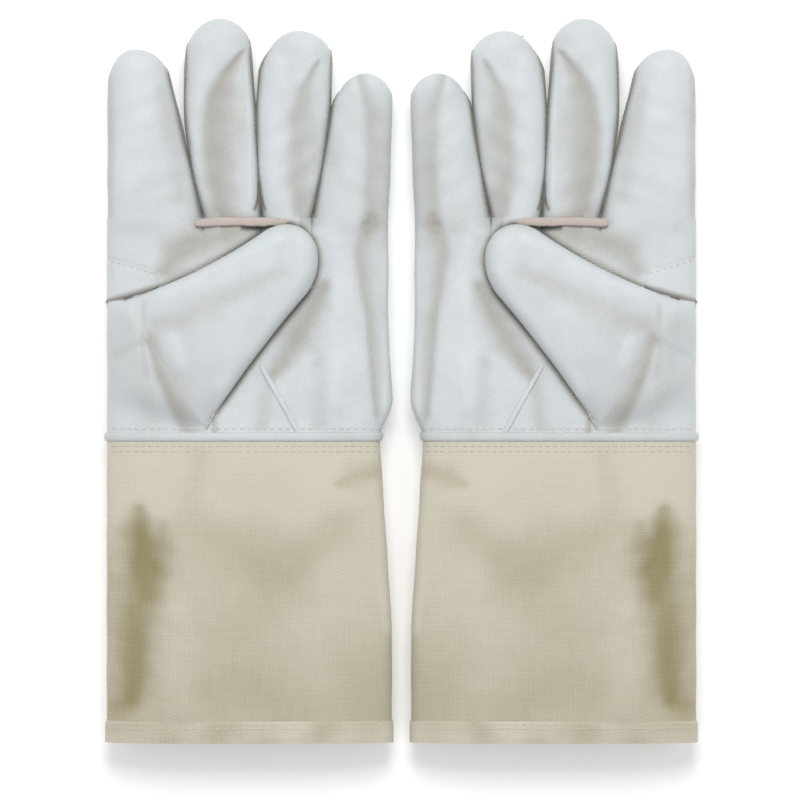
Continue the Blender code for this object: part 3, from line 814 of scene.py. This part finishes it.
def make_finger(hand, side, name, use):
    sock = fingers()[name]
    number = FINGER_NAMES.index(name)
    inner_wall, outer_wall = number > 0, number < 3
    bodies = bend(hand + "_" + name + "_knuckle")
    thickness = bpy.context.scene.glove_sizes.leather * FINGER_LEATHER
    share = sock.shares(64, 22)[:, None]
    t = np.linspace(0, 1, 41)[None, :]
    t = mix(t, (1 - np.cos(t * pi)) / 2, 0.35)
    right = wall_reach(share) if outer_wall else 0 * share
    left = pi - (wall_reach(share) if inner_wall else 0 * share)
    angle = mix(right, left, t)
    leathers = (use["leather"], use["suede"])
    front = sock_patch(sock, share, angle, "front", 20 + number).sew(UP, 0.0005)
    obj = cloth_object(hand + "_" + name + "_face", front, UP, side, leathers, thickness)
    dress(obj, "leather", bodies, hand + "_" + name + "_front")
    back = sock_patch(sock, share, -angle, "back", 30 + number).sew(DOWN, 0.0004)
    obj = cloth_object(hand + "_" + name + "_rear", back, DOWN, side, leathers, thickness)
    dress(obj, "leather", bodies, hand + "_" + name + "_back")
    # The side walls take the leather's painted shade colour.
    leathers = (use["side_leather"], use["suede"])
    walls = (("little_side", outer_wall, 0, (1, 0, 0)), ("index_side", inner_wall, pi, (-1, 0, 0)))
    for wall_side, present, middle, out in walls:
        if not present:
            continue
        share = sock.shares(60, 12, -0.012, 0.975)[:, None]
        angle = middle + np.linspace(-1, 1, 17)[None, :] * wall_reach(share)
        wall = sock_patch(sock, share, angle, "wall").sew(out, 0.0004)
        title = hand + "_" + name + "_fourchette_" + wall_side
        obj = cloth_object(title + "_leather", wall, out, side, leathers, thickness)
        dress(obj, "inner_leather", bodies, title)


# ---------------------------------------------------------------- the thumb


def thumb_thickness(share):
    return mix(0.0078, 0.0116, smooth(share / 0.3))


def thumb_surface(sock, share, angle, upper):
    """Heights of the thumb's upper or lower half, which meet in a seam low on the palm."""
    c, s = rounded(angle, THUMB_ROUNDNESS)
    half, shift, closing = sock.outline(share, c)
    u, v = sock.plan(share, shift + c * half)
    palm = palm_height(np.clip(u, 0.004, 0.124), v, ())
    floor = palm + 0.0006
    floor = np.where(u < 0.02, mix(hand_height(v) - 0.0005, floor, smooth((u - 0.008) / 0.012)), floor)
    lift = np.abs(s)
    at_heel = heel_settling(1 - np.abs(angle) / pi) * (1 - smooth(share * sock.length / BEND_LENGTH))
    heel = palm + HEEL_LIFT
    if not upper:
        return u, v, mix(floor + THUMB_EDGE_RISE * (1 - lift), heel - 0.0008 - 0.0008 * lift, at_heel), lift
    rise = (thumb_thickness(share) - THUMB_EDGE_RISE) * np.sqrt(closing) * lift
    depth, _ = marks_at(u, v, THUMB_MARKS)
    up = floor + THUMB_EDGE_RISE + rise - depth * lift * 0.8
    return u, v, mix(up, heel, at_heel), lift


def heel_settling(share):
    """How far the wing and the thumb's root have come down to the palm, along the root line."""
    return smooth((share - 0.62) / 0.34)


def make_thumb(hand, side, use):
    sock = thumb()
    leathers = (use["leather"], use["suede"])
    thickness = bpy.context.scene.glove_sizes.leather * FINGER_LEATHER
    bodies = bend(hand + "_thumb_root")
    share = sock.shares(66, 26)[:, None]
    t = np.linspace(0, 1, 57)[None, :]
    t = mix(t, (1 - np.cos(t * pi)) / 2, 0.4)
    angle = pi * t
    u, v, up, lift = thumb_surface(sock, share, angle, True)
    up = up + 0.0004 * wander(u, v, 0.018, 41) * lift * smooth(share * sock.length / 0.020)
    # The marks paint shade in the thumb's dents and highlights on its ridges.
    _, dark = marks_at(u, v, THUMB_MARKS)
    front = Patch(u, v, up, np.clip(dark, LIGHTEST, DARKEST), sewn="lr").sew(UP, 0.0004)
    obj = cloth_object(hand + "_thumb_face", front, UP, side, leathers, thickness)
    dress(obj, "leather", bodies, hand + "_thumb_front")

    share = sock.shares(50, 22)[:, None]
    u, v, up, lift = thumb_surface(sock, share, angle, False)
    rear = Patch(u, v, up, 0.35)
    obj = cloth_object(hand + "_thumb_rear", rear, DOWN, side, leathers, thickness * 5 / 9)
    dress(obj, "leather", bodies, hand + "_thumb_back")

    # The wing: from the outer seam up to the thumb's root line, its top edge rolled down onto the patch
    ends = pi * (1 - t)
    crest_u, crest_v, crest_up, _ = (part.T for part in thumb_surface(sock, np.array([[0.0]]), ends, True))
    along_share = np.linspace(0, 1, ends.size)[:, None]
    seam_v = mix(KEYSTONE_FOOT - 0.001, BINDING_WIDTH * 0.5, along_share)
    crest_v = mix(crest_v, BINDING_WIDTH * 0.5, smooth((along_share - 0.95) / 0.05))
    turn = np.linspace(0, pi / 2, 40)[None, :]
    bow = 1 - np.cos(turn)
    u = crest_u * bow
    v = mix(seam_v, crest_v, bow)
    low = hand_height(seam_v) / 2
    up = low + (crest_up - low) * np.sin(turn) ** 0.9
    # The marks paint shade in the wing's folds and highlights on its ridges.
    depth, dark = marks_at(u, v, THUMB_MARKS)
    up = up - depth * np.sin(turn) * smooth(1 - bow) - 0.0005 * wander(u, v, 0.02, 43) * np.sin(2 * turn)
    up = mix(up, palm_height(u, v, ()) + HEEL_LIFT, heel_settling(along_share) * (1 - bow))
    roll = tucked_edge(u[0], v[0], up[0])
    u, v, up = (np.concatenate([extra, main]) for extra, main in zip(roll, (u, v, up)))
    # The rolled-under rows carry a nearly black painted shadow.
    dark = np.concatenate([np.full((len(roll[0]), dark.shape[1]), 1.5), dark])
    wing = Patch(u, v, up, np.clip(dark, LIGHTEST, DARKEST), sewn="l").sew(UP, 0.0005)
    obj = cloth_object(hand + "_wing", wing, UP, side, leathers, thickness)
    dress(obj, "leather", hand + "_hand", hand + "_thumb_wing")


def tucked_edge(u, v, up):
    """Rows that roll the wing's top edge down to the patch beside it, innermost first."""
    steps = np.linspace(1, 0, 7)[:-1, None]
    floor = np.minimum(palm_height(np.maximum(u, 0.0005), v) - 0.0006, up)
    rolled = smooth((up - floor) / 0.0030)[None, :]
    tucked_v = v[None, :] + mix(0.0007 * steps, 0.0010 * np.sin(steps * pi), rolled)
    tucked_up = mix(up[None, :], floor[None, :], steps**1.3)
    return np.repeat(u[None, :], len(steps), axis=0), tucked_v, tucked_up


# ---------------------------------------------------------------- welts and bindings


def raised_strip(name, route, width, height, side, finish_used):
    """A turned-out seam along a route of plan points: a low half-round strip with a flat foot."""
    run = np.gradient(route, axis=0)
    aside = np.stack([run[:, 1], -run[:, 0]], axis=1)
    aside /= np.linalg.norm(aside, axis=1, keepdims=True)
    c, s = rounded(np.linspace(0, 2 * pi, 20, endpoint=False), STRIP_ROUNDNESS)
    ends = np.sin(np.linspace(0, pi, len(route)))[:, None] ** 0.15
    wobble = 1 + 0.12 * wander(route[:, :1], route[:, 1:2], 0.006, 51)
    away = c * width / 2 * ends * wobble
    up = route[:, 2:] + height / 2 * (1 + s) * ends
    u, v = (route[:, i:i + 1] + aside[:, i:i + 1] * away for i in (0, 1))
    points = in_frame(np.stack([u, v, up], axis=-1), side)
    bm = bmesh.new()
    grid = [[bm.verts.new(p) for p in row] for row in points]
    for low, high in zip(grid, grid[1:]):
        for i in range(len(low)):
            bm.faces.new((low[i - 1], low[i], high[i], high[i - 1]))
    bm.faces.new(grid[0])
    bm.faces.new(grid[-1][::-1])
    bmesh.ops.recalc_face_normals(bm, faces=bm.faces)
    mesh = bpy.data.meshes.new(name)
    bm.to_mesh(mesh)
    bm.free()
    mesh.shade_smooth()
    mesh.materials.append(finish_used)
    return bpy_object(name, mesh)


def line(start, end, count):
    return mix(np.array(start, float), np.array(end, float), np.linspace(0, 1, count)[:, None])


def make_welts(hand, side, use):
    route = line((0.0700, 0.0350), (0.0875, 0.0030), 60)
    lift = palm_height(route[:, 0], route[:, 1]) - 0.0005
    route[:, 0] += 0.0006 * np.sin(np.linspace(0, 2.5, 60))
    route = np.column_stack([route, lift])
    obj = raised_strip(hand + "_palm_seam", route, 0.0023, 0.0013, side, use["leather"])
    dress(obj, "seam_leather", hand + "_hand", hand + "_palm_welt")
    route = line((0.0402, 0.0988), (0.0825, 0.1006), 80)
    route[:, 1] += 0.0006 * np.sin(np.linspace(0.4, 5.0, 80))
    route = np.column_stack([route, hand_height(route[:, 1]) - 0.0009])
    obj = raised_strip(hand + "_finger_seam", route, 0.0040, 0.0018, side, use["welt"])
    dress(obj, "seam_leather", hand + "_hand", hand + "_finger_base_welt")


def ring_patch(width, height, along, proud, columns, dark_seed, tones):
    """A flat tube round the wrist or the mouth, with a row at each place along it and how proud it stands."""
    c, s = rounded(np.linspace(0, 2 * pi, columns, endpoint=False)[None, :], HAND_ROUNDNESS)
    along, proud = along[:, None], proud[:, None]
    half = height(along) / 2
    u = width(along) / 2 * (1 + c) + proud * c
    top = half + half * s + proud * s
    bottom = half - (half + proud) * flattened(-s)
    up = np.maximum(np.where(s >= 0, top, bottom), FLOOR_GAP)
    v = along + 0 * u
    return Patch(u, v, up, tones[0] + tones[1] * wander(u, v, 0.03, dark_seed))


def outward_from(across, up, side):
    """Tells which way is out of a ring, for places round it."""
    centre = in_frame(np.array([across, 0, up]), side)
    return lambda places: (places - centre) * (1, 0, 1)


def cuff_width(along):
    return mix(Lie.wrist_width, Lie.mouth_width, np.minimum(1, -along / GAUNTLET_FLARE))


def cuff_height(along):
    return mix(Lie.wrist_height, Lie.mouth_height, np.minimum(1, -along / -Lie.mouth))


def make_binding(hand, side, use):
    turn = np.linspace(0, pi, 14)
    along = BINDING_WIDTH * (1 - np.cos(turn)) / 2
    patch = ring_patch(hand_width, hand_height, along, 0.0012 * np.sin(turn) ** 0.7, 260, 0, (0.15, 0))
    outward = outward_from(Lie.wrist_width / 2, Lie.wrist_height / 2, side)
    thickness = bpy.context.scene.glove_sizes.leather
    obj = cloth_object(hand + "_binding", patch, outward, side, (use["leather"],), thickness, closed=True)
    dress(obj, "bound_leather", hand + "_hand", hand + "_wrist_binding")


# ---------------------------------------------------------------- the gauntlet


def make_gauntlet(hand, side, use):
    end = Lie.mouth
    canvas = (use["canvas"],)
    thickness = bpy.context.scene.glove_sizes.canvas
    rows = np.linspace(0.0006, end + 0.0006, 100)
    c, s = rounded(np.linspace(pi, 0, 121)[None, :], HAND_ROUNDNESS)
    v = rows[:, None]
    u = cuff_width(v) / 2 * (1 + c)
    half = cuff_height(v) / 2
    arch = np.clip(s, 0, 1)
    # The marks paint shade in the canvas's folds and highlights on its ridges, with some real stains.
    depth, dark = marks_at(u, v, CUFF_MARKS)
    easing = smooth(-v / 0.012) * smooth((v - end - 0.004) / 0.014)
    billow = 0.0011 * wander(u, v, 0.050, 61) * easing
    dark = np.clip(dark + CUFF_FADE * (smooth(1.6 * v / end) - 0.45), LIGHTEST, 1)
    up = half + half * arch - (depth * easing - billow) * arch
    front = Patch(u, v, up, dark, sewn="lr").sew(UP, 0.0005, pitch=0.0036)
    obj = cloth_object(hand + "_cuff_front", front, UP, side, canvas, thickness)
    bodies = bend(hand + "_wrist_fold")
    dress(obj, "canvas", bodies, hand + "_gauntlet_front")

    crease = 0.0009 * wander(u, v, 0.03, 62) * smooth((1 - arch) / 0.5) * arch
    up = np.maximum(half - half * flattened(arch) + crease, FLOOR_GAP)
    dark = 0.15 + 0.2 * wander(u, v, 0.04, 63)
    rear = Patch(u, v, up, dark, sewn="lr").sew(DOWN, 0.0004, pitch=0.0036)
    obj = cloth_object(hand + "_cuff_rear", rear, DOWN, side, canvas, thickness)
    dress(obj, "canvas", bodies, hand + "_gauntlet_back")

    # The hem: canvas folded over the mouth's edge and sewn down
    share = np.concatenate([np.linspace(0, 1, 8), np.linspace(1, 0, 8)[1:]])
    proud = np.where(np.arange(len(share)) < 8, 0.0006, -0.0016)
    proud[[0, -1]] = 0.0
    along = mix(end + HEM_WIDTH, end, share)
    patch = ring_patch(cuff_width, cuff_height, along, proud, 220, 64, (0.12, 0.2))
    outward = outward_from(Lie.mouth_width / 2, Lie.mouth_height / 2, side)
    obj = cloth_object(hand + "_cuff_hem", patch, outward, side, canvas, thickness * 8 / 9, closed=True)
    dress(obj, "canvas", hand + "_gauntlet", hand + "_gauntlet_hem")


# ---------------------------------------------------------------- stitches


def stitch_group():
    """Stitches of a set length, laid end to end with gaps along the object's edges."""
    if "stitches" in bpy.data.node_groups:
        return bpy.data.node_groups["stitches"]
    group = bpy.data.node_groups.new("stitches", "GeometryNodeTree")
    inputs = {"Geometry": "Geometry", "Pitch": "Float", "Length": "Float", "Thickness": "Float",
              "Thread": "Material"}
    for label, kind in inputs.items():
        group.interface.new_socket(label, in_out="INPUT", socket_type="NodeSocket" + kind)
    group.interface.new_socket("Geometry", in_out="OUTPUT", socket_type="NodeSocketGeometry")
    w = Wiring(group)
    given = w.add("NodeGroupInput").outputs
    route = w.add("GeometryNodeMeshToCurve", {"Mesh": given["Geometry"]}).outputs["Curve"]
    spaced = w.add("GeometryNodeResampleCurve", {"Curve": route, "Length": given["Pitch"]}, mode="LENGTH")
    stitch = w.add("GeometryNodeMeshUVSphere", {"Segments": 8, "Rings": 6, "Radius": 0.5})
    tangent = w.add("GeometryNodeInputTangent").outputs["Tangent"]
    along = w.add("FunctionNodeAlignRotationToVector", {"Vector": tangent}, axis="X")
    thick = given["Thickness"]
    size = w.add("ShaderNodeCombineXYZ", {"X": given["Length"], "Y": thick, "Z": thick})
    copies = w.add("GeometryNodeInstanceOnPoints", {
        "Points": spaced.outputs["Curve"], "Instance": stitch.outputs["Mesh"],
        "Rotation": along.outputs["Rotation"], "Scale": size.outputs["Vector"],
    })
    real = w.add("GeometryNodeRealizeInstances", {"Geometry": copies.outputs["Instances"]}).outputs[0]
    coloured = w.add("GeometryNodeSetMaterial", {"Geometry": real, "Material": given["Thread"]})
    w.add("NodeGroupOutput", {"Geometry": coloured.outputs["Geometry"]})
    return group


def laid_on(route, side, pieces, under=False):
    """A plan route carried onto the outermost surface of some pieces, from above or from under them."""
    way = -1 if under else 1
    found = []
    for place in route:
        x, y, _ = in_frame(np.array([place[0], place[1], 0.0]), side)
        hits = []
        for piece in pieces:
            hit, at, _, _ = piece.ray_cast(Vector((x, y, 0.5 * way)), Vector((0, 0, -way)))
            if hit:
                hits.append(way * at.z)
        if hits:
            found.append((x, y, way * max(hits)))
    return found


def stitch_rows(name, rows, settings, finish_used):
    """One plain mesh of stitches along several rows of points."""
    mesh = bpy.data.meshes.new(name)
    points, edges = [], []
    for row in rows:
        edges += [(len(points) + i, len(points) + i + 1) for i in range(len(row) - 1)]
        points += row
    mesh.from_pydata(points, edges, [])
    obj = bpy_object(name, mesh)
    nodes = obj.modifiers.new("stitches", "NODES")
    nodes.node_group = stitch_group()
    for item in nodes.node_group.interface.items_tree:
        if item.in_out == "INPUT" and item.name != "Geometry":
            nodes[item.identifier] = finish_used if item.name == "Thread" else settings[item.name]
    settle(obj)
    obj.data.shade_smooth()
    return obj


def made(hand, *names):
    return [bpy.data.objects[hand + "_" + name] for name in names]


def make_stitches(hand, side, use):
    sizes = bpy.context.scene.glove_sizes
    coarse = {"Pitch": sizes.stitch_pitch, "Length": sizes.stitch_length, "Thickness": sizes.thread}
    fine = {"Pitch": sizes.fine_pitch, "Length": sizes.fine_length, "Thickness": sizes.fine_thread}

    def row(start, end, count, *pieces, under=False):
        return laid_on(line(start, end, count), side, made(hand, *pieces), under)

    at = BINDING_WIDTH + STITCH_GAP
    rows = [row((0.004, at), (0.1235, at), 160, "palm", "wing"),
            row((0.006, at), (0.1215, at), 160, "back", under=True)]
    dress(stitch_rows(hand + "_wrist_stitches", rows, coarse, use["thread"]), None, hand + "_hand")

    top_start = (0.003, KEYSTONE_TOP - STITCH_GAP - 0.0008)
    top_end = (KEYSTONE_REACH - 0.003, KEYSTONE_INNER_TOP - STITCH_GAP + 0.001)
    inner = KEYSTONE_REACH - STITCH_GAP
    rows = [row(top_start, top_end, 40, "keystone", "palm"),
            row((inner, KEYSTONE_INNER_TOP - 0.0012), (inner, KEYSTONE_INNER_FOOT), 12, "keystone", "palm")]
    dress(stitch_rows(hand + "_keystone_stitches", rows, fine, use["thread"]), None, hand + "_hand")

    rows = []
    for v in (-0.0022, -0.0046):
        rows.append(row((0.004, v), (0.122, v), 160, "cuff_front"))
        rows.append(row((0.006, v), (0.120, v), 160, "cuff_rear", under=True))
    canvas_rows = stitch_rows(hand + "_cuff_stitches", rows, coarse, use["canvas_thread"])
    dress(canvas_rows, None, bend(hand + "_wrist_fold"))

    rows = []
    for away in (0.0014, 0.0034):
        v = Lie.mouth + HEM_WIDTH - away
        rows.append(row((0.004, v), (Lie.mouth_width - 0.004, v), 170, "cuff_hem"))
        rows.append(row((0.007, v), (Lie.mouth_width - 0.007, v), 170, "cuff_hem", under=True))
    dress(stitch_rows(hand + "_hem_stitches", rows, coarse, use["canvas_thread"]), None, hand + "_gauntlet")


# ---------------------------------------------------------------- stage


def make_floor():
    mesh = bpy.data.meshes.new("floor")
    corners = [(x * 1.2, y * 1.2, 0) for x, y in ((-1, -1), (1, -1), (1, 1), (-1, 1))]
    mesh.from_pydata(corners, [], [(0, 1, 2, 3)])
    floor = bpy_object("floor", mesh)
    made = bpy.data.materials.new("floor")
    made.use_nodes = True
    shader = made.node_tree.nodes["Principled BSDF"].inputs
    shader["Base Color"].default_value = colour(0.88, 0.88, 0.88)
    shader["Roughness"].default_value = 0.9
    shader["Emission Color"].default_value = colour(1, 1, 1)
    shader["Emission Strength"].default_value = 0.22
    mesh.materials.append(made)
    floor.location.z = -0.0002


def area_light(name, place, size, power):
    data = bpy.data.lights.new(name, "AREA")
    data.shape = "SQUARE"
    data.size = size
    data.energy = power
    light = bpy_object(name, data)
    light.location = place
    light.rotation_euler = (-Vector(place)).to_track_quat("-Z", "Y").to_euler()


def make_stage():
    make_floor()
    area_light("key", (0, 0.9, 1.5), 0.8, 18.2)
    for side in (-1, 1):
        area_light("fill", (side * 1.3, -0.2, 1.2), 1.0, 3.8)
    world = bpy.data.worlds.new("studio")
    bpy.context.scene.world = world
    world.use_nodes = True
    w = Wiring(world.node_tree)
    background = world.node_tree.nodes["Background"]
    background.inputs["Color"].default_value = colour(1, 1, 1)
    seen = w.add("ShaderNodeLightPath").outputs["Is Camera Ray"]
    w.put(background.inputs["Strength"], w.ramp(seen, 0, 1, WORLD_LIGHT, 1.0))
    camera = bpy_object("camera", bpy.data.cameras.new("camera"))
    bpy.context.scene.camera = camera
    camera.data.lens = 250
    camera.data.sensor_width = 36
    camera.location = (-0.0007, -0.0093, SHOWN * camera.data.lens / camera.data.sensor_width + 0.012)
    camera.data.clip_end = 20
    bpy.context.scene.view_settings.view_transform = "Standard"


# ---------------------------------------------------------------- add-on


class GloveSizes(bpy.types.PropertyGroup):
    """The thicknesses and the stitches of the gloves."""

    leather: FloatProperty(name="Leather", unit="LENGTH", default=0.0010, min=0.0002, max=0.0015, precision=4,
                           description="Thickness of the leather of the palm and the back")
    canvas: FloatProperty(name="Canvas", unit="LENGTH", default=0.0009, min=0.0002, max=0.0015, precision=4,
                          description="Thickness of the gauntlets' canvas")
    stitch_pitch: FloatProperty(name="Stitch pitch", unit="LENGTH", default=0.0034, min=0.001, precision=4,
                                description="From one stitch to the next at the wrist and on the canvas")
    stitch_length: FloatProperty(name="Stitch length", unit="LENGTH", default=0.0025, min=0.0005, precision=4,
                                 description="Length of a stitch at the wrist and on the canvas")
    thread: FloatProperty(name="Thread", unit="LENGTH", default=0.0006, min=0.0001, max=0.002, precision=4,
                          description="Thickness of the thread at the wrist and on the canvas")
    fine_pitch: FloatProperty(name="Fine pitch", unit="LENGTH", default=0.0028, min=0.001, precision=4,
                              description="From one stitch to the next on the patch beside the thumb")
    fine_length: FloatProperty(name="Fine length", unit="LENGTH", default=0.0021, min=0.0005, precision=4,
                               description="Length of a stitch on the patch beside the thumb")
    fine_thread: FloatProperty(name="Fine thread", unit="LENGTH", default=0.0005, min=0.0001, precision=4,
                               description="Thickness of the thread on the patch beside the thumb")


class GloveTones(bpy.types.PropertyGroup):
    """The colours of the gloves, as linear light."""

    leather: FloatVectorProperty(name="Leather", subtype="COLOR", default=(0.60, 0.64, 0.66), min=0, max=1,
                                 description="The palm, the fingers and the thumb")
    # The leather's painted shade, for its dents, its seams and the fingers' side walls.
    shaded_leather: FloatVectorProperty(name="Shaded leather", subtype="COLOR", default=(0.40, 0.39, 0.36),
                                        min=0, max=1, description="Leather in the dents and along the seams")
    welt: FloatVectorProperty(name="Welt", subtype="COLOR", default=(0.52, 0.45, 0.41), min=0, max=1,
                              description="The turned-out seam at the fingers' base")
    canvas: FloatVectorProperty(name="Canvas", subtype="COLOR", default=(0.61, 0.57, 0.47), min=0, max=1,
                                description="The gauntlets")
    # Painted shade in the canvas's folds, also the colour of its real stains.
    canvas_fold: FloatVectorProperty(name="Canvas folds", subtype="COLOR", default=(0.29, 0.245, 0.125),
                                     min=0, max=1, description="Canvas in its folds and stains")
    thread: FloatVectorProperty(name="Thread", subtype="COLOR", default=(0.60, 0.58, 0.53), min=0, max=1,
                                description="The stitching on the leather")


def for_each_glove(*makers):
    for hand, side in HANDS.items():
        for make in makers:
            make(hand, side, finishes())
    return {"FINISHED"}


def make_fingers(hand, side, use):
    for name in FINGER_NAMES:
        make_finger(hand, side, name, use)


class GLOVES_OT_hands(bpy.types.Operator):
    """Makes the palms, the backs and the patches beside the thumbs"""

    bl_idname = "gloves.hands"
    bl_label = "Palms and backs"

    def execute(self, context):
        return for_each_glove(make_hand)


class GLOVES_OT_fingers(bpy.types.Operator):
    """Makes the fingers with their side walls"""

    bl_idname = "gloves.fingers"
    bl_label = "Fingers"

    def execute(self, context):
        return for_each_glove(make_fingers)


class GLOVES_OT_thumbs(bpy.types.Operator):
    """Makes the thumbs and their wings"""

    bl_idname = "gloves.thumbs"
    bl_label = "Thumbs"

    def execute(self, context):
        return for_each_glove(make_thumb)


class GLOVES_OT_welts(bpy.types.Operator):
    """Makes the raised seams and the wrist bindings"""

    bl_idname = "gloves.welts"
    bl_label = "Welts and bindings"

    def execute(self, context):
        return for_each_glove(make_welts, make_binding)


class GLOVES_OT_gauntlets(bpy.types.Operator):
    """Makes the canvas gauntlets and their hems"""

    bl_idname = "gloves.gauntlets"
    bl_label = "Gauntlets"

    def execute(self, context):
        return for_each_glove(make_gauntlet)


class GLOVES_OT_stitches(bpy.types.Operator):
    """Makes the visible rows of stitches"""

    bl_idname = "gloves.stitches"
    bl_label = "Stitches"

    def execute(self, context):
        return for_each_glove(make_stitches)


class GLOVES_OT_stage(bpy.types.Operator):
    """Makes the floor, the lights and the camera"""

    bl_idname = "gloves.stage"
    bl_label = "Stage"

    def execute(self, context):
        make_stage()
        return {"FINISHED"}


OPERATORS = (GLOVES_OT_stage, GLOVES_OT_hands, GLOVES_OT_fingers, GLOVES_OT_thumbs, GLOVES_OT_welts,
             GLOVES_OT_gauntlets, GLOVES_OT_stitches)


class GLOVES_PT_panel(bpy.types.Panel):
    """Lists the gloves' sizes and colours, and the steps that make them"""

    bl_label = "Gloves"
    bl_space_type = "VIEW_3D"
    bl_region_type = "UI"
    bl_category = "Gloves"

    def draw(self, context):
        scene = context.scene
        for group, settings in ((GloveSizes, scene.glove_sizes), (GloveTones, scene.glove_tones)):
            for name in group.__annotations__:
                self.layout.prop(settings, name)
        for operator in OPERATORS:
            self.layout.operator(operator.bl_idname)


CLASSES = (GloveSizes, GloveTones, *OPERATORS, GLOVES_PT_panel)


def register():
    for item in CLASSES:
        bpy.utils.register_class(item)
    bpy.types.Scene.glove_sizes = PointerProperty(type=GloveSizes)
    bpy.types.Scene.glove_tones = PointerProperty(type=GloveTones)


def unregister():
    del bpy.types.Scene.glove_sizes, bpy.types.Scene.glove_tones
    for item in reversed(CLASSES):
        bpy.utils.unregister_class(item)


def main():
    register()
    bpy.ops.gloves.stage()
    bpy.ops.gloves.hands()
    bpy.ops.gloves.fingers()
    bpy.ops.gloves.thumbs()
    bpy.ops.gloves.welts()
    bpy.ops.gloves.gauntlets()
    bpy.ops.gloves.stitches()
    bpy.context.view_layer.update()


if __name__ == "__main__":
    main()
